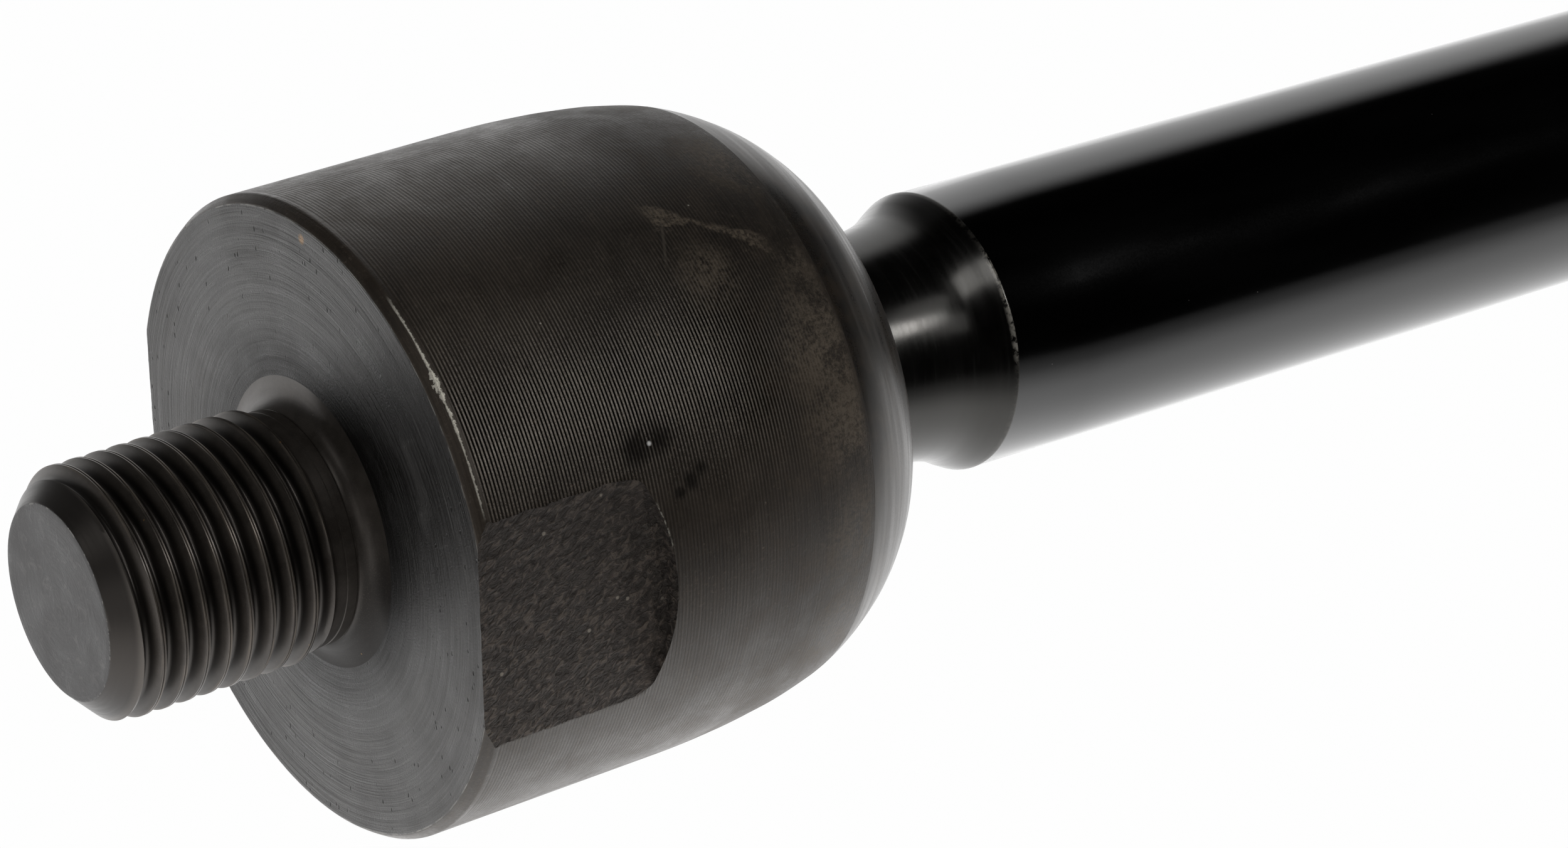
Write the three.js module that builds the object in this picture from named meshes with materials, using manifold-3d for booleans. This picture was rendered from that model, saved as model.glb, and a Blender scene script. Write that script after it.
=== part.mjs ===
// Inner tie rod end (axial ball joint) of a rack-and-pinion steering gear.
// Units: millimetres, +Z up. The housing's axis is the X axis: the threaded stud's
// end face is at x = 0 and the rod leaves the housing's mouth towards +X.
// The joint lies on a level surface: the housing rests on its barrel and the rod
// droops by a small angle until the jam nut touches the same surface.
import * as THREE from 'three';
import { mergeVertices } from 'three/addons/utils/BufferGeometryUtils.js';
import Module from 'manifold-3d';

const wasm = await Module();
wasm.setup();

// ---------------------------------------------------------------- dimensions
// threaded stud, M16 x 1.5
const STUD_R = 8.0;            // crest radius
const STUD_END_R = 6.2;        // end face radius inside the chamfer
const STUD_CHAMFER = 1.7;      // axial length of the end chamfer
const RELIEF_START = 15.0;     // plain shank behind the thread starts
const RELIEF_R = 7.5;          // shank radius
const GROOVE_R = 7.35;         // narrow groove between shank and shoulder fillet
const SHOULDER_X = 17.55;      // shoulder face, which clamps against the rack end

// housing
const FACE_R = 20.15;          // shoulder face radius inside the chamfer
const CHAMFER_X = 18.22;       // end of the shoulder chamfer
const HOUSING_R = 20.65;       // barrel radius
const FLAT_HALF = 19.36;       // wrench flats, half the size across flats
const FLAT_END_X = 30.76;      // far end of the flats, on the centre line
const FLAT_CUTTER_R = 17.5;    // radius that rounds the far end of the flats
const CUP_FLOOR_X = 22.2;      // floor of the cup
const CUP_R = 17.4;            // bore of the cup
const MOUTH_X = 53.0;          // end of the rolled lip

// ball joint
const BALL_X = 41.5;           // ball centre on the housing axis
const BALL_R = 14.0;
const SEAT_BORE_R = 14.3;      // spherical bore of both seats
const SEAT_R = 17.1;           // outside of both seats
const NECK_R0 = 7.4;           // neck at the ball
const NECK_R1 = 8.0;           // neck at the flare

// rod, measured from the ball centre along the rod
const FLARE_START = 20.4;
const BAR_START = 24.2;        // sharp edge between flare and bar
const BAR_R = 9.45;
const BAR_END = 230.0;         // bar tapers to the thread's undercut
const THREAD_START = 233.5;
const THREAD_R = 9.0;          // M18 x 1.5 outer thread, crest radius
const ROD_END = 303.5;
const ROD_FLAT_HALF = 8.0;     // wrench flats near the outer thread, 16 across
const ROD_FLAT_X0 = 206.0;
const ROD_FLAT_X1 = 222.0;

// jam nut
const NUT_AF = 27.0;
const NUT_H = 9.0;
const NUT_BORE_R = 9.3;

// the droop that brings the jam nut's lower edge level with the housing's barrel
const DROOP = 0.0275;          // radians
const NUT_FAR = 259.3;         // outer face of the jam nut, from the ball centre

const SIDES = 64;              // facets round the housing
const ROD_SIDES = 36;          // facets round the rod
const INNER_SIDES = 40;        // facets round the seats, spring, washer and ring

// ---------------------------------------------------------------- helpers
function toManifold(geometry) {
  const g = geometry.clone();
  g.deleteAttribute('normal');
  g.deleteAttribute('uv');
  const m = mergeVertices(g, 1e-4);
  const pos = m.attributes.position.array;
  const idx = m.index.array;
  const tris = [];
  let vol = 0;
  for (let i = 0; i < idx.length; i += 3) {
    const a = idx[i], b = idx[i + 1], c = idx[i + 2];
    if (a === b || b === c || a === c) continue;
    tris.push(a, b, c);
    const ax = pos[3 * a], ay = pos[3 * a + 1], az = pos[3 * a + 2];
    const bx = pos[3 * b], by = pos[3 * b + 1], bz = pos[3 * b + 2];
    const cx = pos[3 * c], cy = pos[3 * c + 1], cz = pos[3 * c + 2];
    vol += ax * (by * cz - bz * cy) + ay * (bz * cx - bx * cz) + az * (bx * cy - by * cx);
  }
  if (vol < 0) for (let i = 0; i < tris.length; i += 3) [tris[i + 1], tris[i + 2]] = [tris[i + 2], tris[i + 1]];
  return new wasm.Manifold(new wasm.Mesh({
    numProp: 3,
    vertProperties: new Float32Array(pos),
    triVerts: new Uint32Array(tris),
  }));
}

function toMesh(name, solid, color, roughness, metalness) {
  const m = solid.getMesh();
  const g = new THREE.BufferGeometry();
  g.setAttribute('position', new THREE.BufferAttribute(new Float32Array(m.vertProperties), 3));
  g.setIndex(new THREE.BufferAttribute(new Uint32Array(m.triVerts), 1));
  g.computeVertexNormals();
  const mesh = new THREE.Mesh(g, new THREE.MeshStandardMaterial({ color, roughness, metalness }));
  mesh.name = name;
  return mesh;
}

// profile: [x along the axis, radius] pairs; starts and ends on the axis, or closes on itself
function revolve(profile, sides, phase = 0.5) {
  const pts = profile.map(([x, r]) => new THREE.Vector2(r, x));
  const g = new THREE.LatheGeometry(pts, sides, phase * 2 * Math.PI / sides, 2 * Math.PI);
  g.rotateZ(-Math.PI / 2);     // lathe axis Y becomes X
  return toManifold(g);
}

function box(x0, x1, y0, y1, z0, z1) {
  const g = new THREE.BoxGeometry(x1 - x0, y1 - y0, z1 - z0);
  g.translate((x0 + x1) / 2, (y0 + y1) / 2, (z0 + z1) / 2);
  return toManifold(g);
}

// points of a circular arc about (cx, 0) from angle a0 to a1, in profile coordinates
function arc(cx, cr, r, a0, a1, n) {
  const out = [];
  for (let i = 0; i <= n; i++) {
    const a = a0 + (a1 - a0) * i / n;
    out.push([cx + r * Math.cos(a), cr + r * Math.sin(a)]);
  }
  return out;
}

// ---------------------------------------------------------------- socket housing
const outer = [
  [0, 0], [0, STUD_END_R], [STUD_CHAMFER, STUD_R], [RELIEF_START - 0.6, STUD_R],
  [RELIEF_START, RELIEF_R], [16.0, RELIEF_R], [16.1, GROOVE_R], [16.5, GROOVE_R + 0.03],
  [17.0, 7.62], [17.35, 8.1], [SHOULDER_X, 8.85],
  [SHOULDER_X, FACE_R], [CHAMFER_X, HOUSING_R], [35.6, HOUSING_R],
  [38.4, 20.54], [40.8, 20.36], [43.2, 20.06], [44.8, 19.76], [46.4, 19.37],
  [48.0, 18.73], [49.6, 17.86], [50.6, 17.20], [51.5, 16.45], [52.2, 15.75],
  [52.7, 15.05], [MOUTH_X, 14.35],
];
const inner = [
  [MOUTH_X, 13.6], [52.2, 13.2], [51.6, 13.4], [50.6, 14.1], [49.5, 14.85], [48.2, 15.55],
  [46.4, 16.3], [44.8, 16.9], [43.2, 17.3], [42.0, CUP_R],
  [CUP_FLOOR_X + 0.6, CUP_R], [CUP_FLOOR_X, CUP_R - 0.6], [CUP_FLOOR_X, 0],
];
let housing = revolve([...outer, ...inner], SIDES);
// wrench flats: a plate with one end rounded by the cutter, cut away on both sides
const flatShape = new THREE.Shape();
{
  const cx = FLAT_END_X - FLAT_CUTTER_R;
  const a = Math.asin(12 / FLAT_CUTTER_R);
  flatShape.moveTo(10, -12);
  for (let i = 0; i <= 16; i++) {
    const t = -a + 2 * a * i / 16;
    flatShape.lineTo(cx + FLAT_CUTTER_R * Math.cos(t), FLAT_CUTTER_R * Math.sin(t));
  }
  flatShape.lineTo(10, 12);
  flatShape.closePath();
}
for (const side of [1, -1]) {
  const g = new THREE.ExtrudeGeometry(flatShape, { depth: 6, bevelEnabled: false });
  // shape X -> X, shape Y -> Z, depth -> away from the axis
  g.rotateX(Math.PI / 2);                    // depth now runs towards -Y
  g.translate(0, -FLAT_HALF, 0);
  if (side > 0) g.rotateX(Math.PI);
  const cut = toManifold(g);
  housing = housing.subtract(cut);
}

// ---------------------------------------------------------------- seats, spring, washer, ring
const BX = BALL_X;
const discSpring = revolve([
  [22.5, 16.6], [23.5, 16.6], [24.4, 6.2], [23.4, 6.2], [22.5, 16.6],
], INNER_SIDES);

const thrustWasher = revolve([
  [24.7, 5.0], [24.7, 16.7], [25.5, 16.7], [25.5, 5.0], [24.7, 5.0],
], INNER_SIDES);

const seatHoleR = 3.0;
const aHole = Math.PI - Math.asin(seatHoleR / SEAT_BORE_R);
const frontLip = 41.2;
const aFront = Math.acos((frontLip - BX) / SEAT_BORE_R);
const frontSeat = revolve([
  [25.8, seatHoleR], [25.8, SEAT_R - 0.8], [26.4, SEAT_R], [frontLip, SEAT_R],
  ...arc(BX, 0, SEAT_BORE_R, aFront, aHole, 10), [25.8, seatHoleR],
], INNER_SIDES);

const rearLip = 41.6;
const aRear0 = Math.acos((rearLip - BX) / SEAT_BORE_R);
const aRear1 = Math.acos(6.1 / SEAT_BORE_R);
const rearSeat = revolve([
  [rearLip, SEAT_R], [42.4, SEAT_R], [43.1, 17.0], [44.7, 16.58], [46.2, 15.98], [47.6, 15.42],
  ...arc(BX, 0, SEAT_BORE_R, aRear1, aRear0, 6), [rearLip, SEAT_R],
], INNER_SIDES);

const closingRing = revolve([
  [47.9, 12.95], [47.9, 15.30], [49.3, 14.56], [50.4, 13.84], [51.0, 13.40], [51.0, 12.95], [47.9, 12.95],
], INNER_SIDES);

// ---------------------------------------------------------------- ball and rod (own axis = X from the ball centre)
const ballCutX = Math.sqrt(BALL_R * BALL_R - NECK_R0 * NECK_R0);
const ballFlat = ballCutX - 0.3;
const ballFlatR = Math.sqrt(BALL_R * BALL_R - ballFlat * ballFlat);
const aFlat = Math.atan2(ballFlatR, ballFlat);
const aPole = Math.PI - Math.asin(3.2 / BALL_R);
const ball = revolve([
  ...arc(0, 0, BALL_R, aPole, aFlat, 14),
  [ballFlat, 0],
].reduce((acc, p) => (acc.length ? [...acc, p] : [[BALL_R * Math.cos(aPole), 0], p]), []), ROD_SIDES);

const flare = [
  [FLARE_START, NECK_R1], [21.6, 8.25], [22.4, 8.55], [23.2, 9.0], [BAR_START, BAR_R],
];
let rod = revolve([
  [ballCutX, 0], [ballCutX, NECK_R0], [14.0, NECK_R0], [17.2, 7.6], [19.0, 7.8],
  ...flare,
  [BAR_END, BAR_R], [BAR_END + 1.6, 8.1], [THREAD_START - 0.4, 8.1], [THREAD_START + 0.5, THREAD_R],
  [ROD_END - 1.6, THREAD_R], [ROD_END, 7.4], [ROD_END, 0],
], ROD_SIDES);
for (const s of [1, -1]) {
  const y0 = s > 0 ? ROD_FLAT_HALF : -14, y1 = s > 0 ? 14 : -ROD_FLAT_HALF;
  rod = rod.subtract(box(ROD_FLAT_X0, ROD_FLAT_X1, y0, y1, -14, 14));
}

// ---------------------------------------------------------------- jam nut
const hex = new THREE.Shape();
for (let i = 0; i < 6; i++) {
  const a = Math.PI / 6 + i * Math.PI / 3;
  const R = NUT_AF / 2 / Math.cos(Math.PI / 6);
  const p = [R * Math.cos(a), R * Math.sin(a)];
  if (i === 0) hex.moveTo(...p); else hex.lineTo(...p);
}
hex.closePath();
const hexG = new THREE.ExtrudeGeometry(hex, { depth: NUT_H, bevelEnabled: false });
hexG.rotateY(Math.PI / 2);                     // depth along +X, a flat towards -Z
hexG.translate(NUT_FAR - NUT_H, 0, 0);
const N0 = NUT_FAR - NUT_H, N1 = NUT_FAR;
const cornerR = NUT_AF / 2 / Math.cos(Math.PI / 6);
let nut = toManifold(hexG).intersect(revolve([
  [N0, 0], [N0, 12.9], [N0 + 1.55, cornerR + 0.3], [N1 - 1.55, cornerR + 0.3], [N1, 12.9], [N1, 0],
], 48));
nut = nut.subtract(revolve([
  [N0 - 1, 0], [N0 - 1, 10.9], [N0 + 0.6, NUT_BORE_R], [N1 - 0.6, NUT_BORE_R], [N1 + 1, 10.9], [N1 + 1, 0],
], ROD_SIDES));

// ---------------------------------------------------------------- assembly
const object = new THREE.Group();
object.add(toMesh('socket_housing', housing, 0x2b2a29, 0.48, 0.75));
object.add(toMesh('disc_spring', discSpring, 0x4a4c50, 0.4, 0.9));
object.add(toMesh('thrust_washer', thrustWasher, 0x8d8f92, 0.35, 0.9));
object.add(toMesh('front_ball_seat', frontSeat, 0xd8d2c0, 0.55, 0.0));
object.add(toMesh('rear_ball_seat', rearSeat, 0xd8d2c0, 0.55, 0.0));
object.add(toMesh('closing_ring', closingRing, 0x77797c, 0.4, 0.9));

const droop = new THREE.Group();               // everything that droops with the rod
droop.position.set(BALL_X, 0, 0);
droop.rotation.y = DROOP;
droop.add(toMesh('ball', ball, 0xb9bbbe, 0.15, 1.0));
droop.add(toMesh('tie_rod_shaft', rod, 0x151515, 0.22, 0.3));
droop.add(toMesh('jam_nut', nut, 0x8f8a72, 0.4, 0.85));
object.add(droop);

export default object;
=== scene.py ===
# Inner tie rod end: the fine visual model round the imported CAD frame.
# Lengths in the helper functions are millimetres and are written to the meshes in metres.
import math
import bpy
from mathutils import Matrix, Vector, noise


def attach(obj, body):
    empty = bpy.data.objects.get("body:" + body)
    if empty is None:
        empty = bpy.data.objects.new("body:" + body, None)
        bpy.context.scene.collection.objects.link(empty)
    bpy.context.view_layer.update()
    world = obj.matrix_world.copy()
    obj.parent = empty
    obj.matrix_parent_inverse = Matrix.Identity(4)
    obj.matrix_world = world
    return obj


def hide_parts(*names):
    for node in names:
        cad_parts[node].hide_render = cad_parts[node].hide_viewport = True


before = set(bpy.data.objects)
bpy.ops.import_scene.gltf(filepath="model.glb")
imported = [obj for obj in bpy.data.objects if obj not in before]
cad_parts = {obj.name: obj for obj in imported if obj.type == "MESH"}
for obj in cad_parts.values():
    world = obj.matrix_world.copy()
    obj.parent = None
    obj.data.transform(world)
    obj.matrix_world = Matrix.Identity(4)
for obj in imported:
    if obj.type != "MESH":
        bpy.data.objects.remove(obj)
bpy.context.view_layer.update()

MM = 0.001
TAU = 2 * math.pi

# ------------------------------------------------------------------ sizes, as in the CAD
BALL_X = 41.5
DROOP = 0.0275
FLOOR_Z = -20.65 * math.cos(math.pi / 64) * MM
HOUSING_R = 20.65
FLAT_HALF = 19.36
NCOL = 158
FEED = 0.2527
PITCH = 1.5
NUT_FAR = 259.3
NUT_H = 9.0
NUT_AF = 27.0
ROD_MATRIX = Matrix.Translation((BALL_X * MM, 0, 0)) @ Matrix.Rotation(DROOP, 4, "Y")


def lerp(a, b, t):
    return a + (b - a) * t


def smooth(t):
    t = min(max(t, 0.0), 1.0)
    return t * t * (3 - 2 * t)


def rnd(i, salt=0.0):
    """A repeatable number in 0..1 for an index."""
    return (math.sin(i * 127.1 + salt * 311.7 + 0.5) * 43758.5453) % 1.0


def spline(points, x):
    """Catmull-Rom through (x, y) points, flat outside them."""
    if x <= points[0][0]:
        return points[0][1]
    if x >= points[-1][0]:
        return points[-1][1]
    for i in range(len(points) - 1):
        x0, y0 = points[i]
        x1, y1 = points[i + 1]
        if x0 <= x <= x1:
            m0 = (y1 - points[i - 1][1]) / (x1 - points[i - 1][0]) if i > 0 else (y1 - y0) / (x1 - x0)
            m1 = (points[i + 2][1] - y0) / (points[i + 2][0] - x0) if i + 2 < len(points) else (y1 - y0) / (x1 - x0)
            h = x1 - x0
            t = (x - x0) / h
            return ((2 * t**3 - 3 * t**2 + 1) * y0 + (t**3 - 2 * t**2 + t) * h * m0
                    + (-2 * t**3 + 3 * t**2) * y1 + (t**3 - t**2) * h * m1)


# ------------------------------------------------------------------ mesh making
class Skin:
    """Rings of points round the X axis, joined row by row. A ring is a list of vertex indices."""

    def __init__(self, cols):
        self.cols = cols
        self.v = []
        self.f = []
        self.m = []

    def point(self, x, r, a):
        self.v.append((x, r * math.cos(a), r * math.sin(a)))
        return len(self.v) - 1

    def ring(self, x, r, wobble=None):
        out = []
        for j in range(self.cols):
            a = TAU * j / self.cols
            rr = r(a) if callable(r) else r
            xx = x(a) if callable(x) else x
            out.append(self.point(xx, rr, a))
        return out

    def face(self, ids, mat):
        seen = []
        for i in ids:
            if not seen or (i != seen[-1] and i not in seen):
                seen.append(i)
        if len(seen) > 2:
            self.f.append(seen)
            self.m.append(mat)

    def join(self, a, b, mat=0):
        n = self.cols
        for j in range(n):
            k = (j + 1) % n
            self.face((a[j], b[j], b[k], a[k]), mat)

    def cap(self, a, x, mat=0, flip=False):
        c = self.point(x, 0.0, 0.0)
        n = self.cols
        for j in range(n):
            k = (j + 1) % n
            self.face((c, a[k], a[j]) if flip else (c, a[j], a[k]), mat)

    def thread(self, start_ring, x0, x1, end_ring_r, breaks, pitch, radius, mat=0, phase=0.0, end_mat=None):
        """A helical grid from x0 to x1, with rows on the thread's own edges. breaks are offsets within one pitch.
        radius(x, u) gives the radius at x where u is the offset within the pitch. Returns the ring at x1."""
        n = len(breaks)
        cols = self.cols
        end = [self.point(x1, end_ring_r, TAU * j / cols) for j in range(cols)]
        k0 = -2
        k1 = int((x1 - x0) / pitch) + 3
        base = [(k * pitch + b, b) for k in range(k0, k1) for b in breaks]
        total = len(base)
        grid = []
        for j in range(cols):
            a = TAU * j / cols
            col = []
            for bx, u in base:
                x = x0 + phase + bx + pitch * j / cols
                if x <= x0 + 1e-6:
                    col.append(start_ring[j])
                elif x >= x1 - 1e-6:
                    col.append(end[j])
                else:
                    col.append(self.point(x, radius(x, u, a), a))
            grid.append(col)
        for j in range(cols):
            k = (j + 1) % cols
            shift = n if k == 0 else 0
            a, b = grid[j], grid[k]
            for i in range(total - 1):
                lo, hi = i + shift, i + 1 + shift
                p = b[lo] if lo < total else end[k]
                q = b[hi] if hi < total else end[k]
                self.face((a[i], a[i + 1], q, p), mat)
        # the helix starts before x0 on every column, so the first column of the seam has no gap
        first = [start_ring[0]]
        return end

    def build(self, name, mats, matrix=None, sharp=28.0, scale=MM, flip=False):
        me = bpy.data.meshes.new(name)
        used = sorted({i for f in self.f for i in f})
        at = {old: new for new, old in enumerate(used)}
        verts = [tuple(c * scale for c in self.v[i]) for i in used]
        faces = [[at[i] for i in (reversed(f) if flip else f)] for f in self.f]
        me.from_pydata(verts, [], faces)
        me.polygons.foreach_set("material_index", self.m)
        me.polygons.foreach_set("use_smooth", [True] * len(me.polygons))
        for m in mats:
            me.materials.append(m)
        if matrix is not None:
            me.transform(matrix)
        me.update()
        o = bpy.data.objects.new(name, me)
        bpy.context.scene.collection.objects.link(o)
        tidy(o, sharp)
        return o


def tidy(o, sharp=28.0):
    """Merges doubles, drops empty faces, turns faces out and marks the sharp edges."""
    import bmesh
    bm = bmesh.new()
    bm.from_mesh(o.data)
    bmesh.ops.remove_doubles(bm, verts=bm.verts, dist=2e-7)
    bmesh.ops.dissolve_degenerate(bm, edges=bm.edges, dist=1e-7)
    bmesh.ops.recalc_face_normals(bm, faces=bm.faces)
    if bm.calc_volume(signed=True) < 0:
        bmesh.ops.reverse_faces(bm, faces=bm.faces)
    bm.to_mesh(o.data)
    bm.free()
    o.data.set_sharp_from_angle(angle=math.radians(sharp))
    o.data.update()


def boolean(o, cutter, operation="DIFFERENCE", sharp=28.0):
    mod = o.modifiers.new("cut", "BOOLEAN")
    mod.operation = operation
    mod.object = cutter
    mod.solver = "MANIFOLD"
    bpy.context.view_layer.update()
    dg = bpy.context.evaluated_depsgraph_get()
    me = bpy.data.meshes.new_from_object(o.evaluated_get(dg), depsgraph=dg)
    if len(me.polygons) < 10:
        mod.solver = "EXACT"
        bpy.context.view_layer.update()
        dg = bpy.context.evaluated_depsgraph_get()
        me = bpy.data.meshes.new_from_object(o.evaluated_get(dg), depsgraph=dg)
    o.modifiers.clear()
    old = o.data
    me.name = old.name + "_cut"
    o.data = me
    bpy.data.meshes.remove(old)
    gone = cutter.data
    bpy.data.objects.remove(cutter)
    bpy.data.meshes.remove(gone)
    me.polygons.foreach_set("use_smooth", [True] * len(me.polygons))
    me.set_sharp_from_angle(angle=math.radians(sharp))
    me.update()
    return o


def plain_mesh(name, verts, faces, mats=(), index=None):
    me = bpy.data.meshes.new(name)
    me.from_pydata([tuple(c * MM for c in v) for v in verts], [], faces)
    for m in mats:
        me.materials.append(m)
    if index:
        me.polygons.foreach_set("material_index", index)
    me.update()
    o = bpy.data.objects.new(name, me)
    bpy.context.scene.collection.objects.link(o)
    return o


# ------------------------------------------------------------------ materials
class Mat:
    """A small writer for node materials. Positions are in millimetres, in the part's frame or along the rod."""

    def __init__(self, name, rod=False):
        self.m = bpy.data.materials.new(name)
        self.m.use_nodes = True
        self.t = self.m.node_tree
        self.t.nodes.clear()
        self.out = self.t.nodes.new("ShaderNodeOutputMaterial")
        self.b = self.t.nodes.new("ShaderNodeBsdfPrincipled")
        self.t.links.new(self.b.outputs[0], self.out.inputs[0])
        tc = self.t.nodes.new("ShaderNodeTexCoord")
        mp = self.t.nodes.new("ShaderNodeMapping")
        if rod:
            mp.vector_type = "TEXTURE"
            mp.inputs["Location"].default_value = (BALL_X * MM, 0, 0)
            mp.inputs["Rotation"].default_value = (0, DROOP, 0)
            mp.inputs["Scale"].default_value = (MM, MM, MM)
        else:
            mp.vector_type = "POINT"
            mp.inputs["Scale"].default_value = (1000, 1000, 1000)
        self.t.links.new(tc.outputs["Object"], mp.inputs["Vector"])
        self.p = mp.outputs[0]
        sep = self.t.nodes.new("ShaderNodeSeparateXYZ")
        self.t.links.new(self.p, sep.inputs[0])
        self.x, self.y, self.z = sep.outputs
        self.r = self.math("SQRT", self.math("ADD", self.math("MULTIPLY", self.y, self.y), self.math("MULTIPLY", self.z, self.z)))

    def put(self, socket, value):
        if hasattr(value, "is_linked") or hasattr(value, "links"):
            self.t.links.new(value, socket)
        elif isinstance(value, (tuple, list)) and len(value) == 3 and socket.type == "RGBA":
            socket.default_value = (*value, 1)
        else:
            socket.default_value = value

    def set(self, **kw):
        names = {"color": "Base Color", "rough": "Roughness", "metal": "Metallic", "ior": "IOR", "coat": "Coat Weight",
                 "coat_rough": "Coat Roughness", "normal": "Normal", "spec": "Specular IOR Level", "aniso": "Anisotropic",
                 "subsurface": "Subsurface Weight", "tint": "Specular Tint", "sheen": "Sheen Weight"}
        for k, v in kw.items():
            self.put(self.b.inputs[names[k]], v)
        return self.m

    def math(self, op, a, b=None, c=None, clamp=False):
        n = self.t.nodes.new("ShaderNodeMath")
        n.operation = op
        n.use_clamp = clamp
        for s, v in zip(n.inputs, (a, b, c)):
            if v is not None:
                self.put(s, v)
        return n.outputs[0]

    def vec(self, x, y, z):
        n = self.t.nodes.new("ShaderNodeCombineXYZ")
        for s, v in zip(n.inputs, (x, y, z)):
            self.put(s, v)
        return n.outputs[0]

    def map(self, v, a, b, c=0.0, d=1.0, soft=True):
        n = self.t.nodes.new("ShaderNodeMapRange")
        n.interpolation_type = "SMOOTHSTEP" if soft else "LINEAR"
        n.clamp = True
        for s, w in zip(n.inputs, (v, a, b, c, d)):
            self.put(s, w)
        return n.outputs[0]

    def mix(self, f, a, b):
        n = self.t.nodes.new("ShaderNodeMix")
        n.data_type = "RGBA"
        self.put(n.inputs[0], f)
        self.put(n.inputs[6], a)
        self.put(n.inputs[7], b)
        return n.outputs[2]

    def lerp(self, f, a, b):
        n = self.t.nodes.new("ShaderNodeMix")
        n.data_type = "FLOAT"
        self.put(n.inputs[0], f)
        self.put(n.inputs[2], a)
        self.put(n.inputs[3], b)
        return n.outputs[0]

    def noise(self, v=None, scale=1.0, detail=3.0, rough=0.5, warp=0.0):
        n = self.t.nodes.new("ShaderNodeTexNoise")
        n.noise_dimensions = "3D"
        self.put(n.inputs["Vector"], self.p if v is None else v)
        n.inputs["Scale"].default_value = scale
        n.inputs["Detail"].default_value = detail
        n.inputs["Roughness"].default_value = rough
        n.inputs["Distortion"].default_value = warp
        return n.outputs[0]

    def voronoi(self, v=None, scale=1.0, feature="F1", out="Distance"):
        n = self.t.nodes.new("ShaderNodeTexVoronoi")
        n.feature = feature
        self.put(n.inputs["Vector"], self.p if v is None else v)
        n.inputs["Scale"].default_value = scale
        return n.outputs[out]

    def ring_noise(self, along, k_along, k_round, detail=2.0, rough=0.5, warp=0.0):
        """Noise stretched round the axis: fine along, slow round it."""
        ry = self.math("DIVIDE", self.y, self.r)
        rz = self.math("DIVIDE", self.z, self.r)
        v = self.vec(self.math("MULTIPLY", along, k_along), self.math("MULTIPLY", ry, k_round), self.math("MULTIPLY", rz, k_round))
        return self.noise(v, 1.0, detail, rough, warp)

    def bump(self, height, strength=0.3, distance=0.00005, normal=None):
        n = self.t.nodes.new("ShaderNodeBump")
        n.inputs["Strength"].default_value = strength
        n.inputs["Distance"].default_value = distance
        self.put(n.inputs["Height"], height)
        if normal is not None:
            self.put(n.inputs["Normal"], normal)
        return n.outputs[0]

    def near(self, point, inner, outer):
        """1 close to a point of the part, 0 away from it, in millimetres."""
        n = self.t.nodes.new("ShaderNodeVectorMath")
        n.operation = "DISTANCE"
        self.put(n.inputs[0], self.p)
        n.inputs[1].default_value = point
        return self.map(n.outputs["Value"], outer, inner, 0.0, 1.0)

    def max(self, a, b):
        return self.math("MAXIMUM", a, b)

    def specks(self, scale, keep, size=0.25, vec=None):
        """Small sparse spots: 1 inside a spot."""
        d = self.voronoi(vec, scale)
        pick = self.noise(vec, scale * 0.6, 0.0)
        near = self.map(d, size, size * 0.4, 0.0, 1.0)
        return self.math("MULTIPLY", near, self.math("GREATER_THAN", pick, keep))


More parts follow.
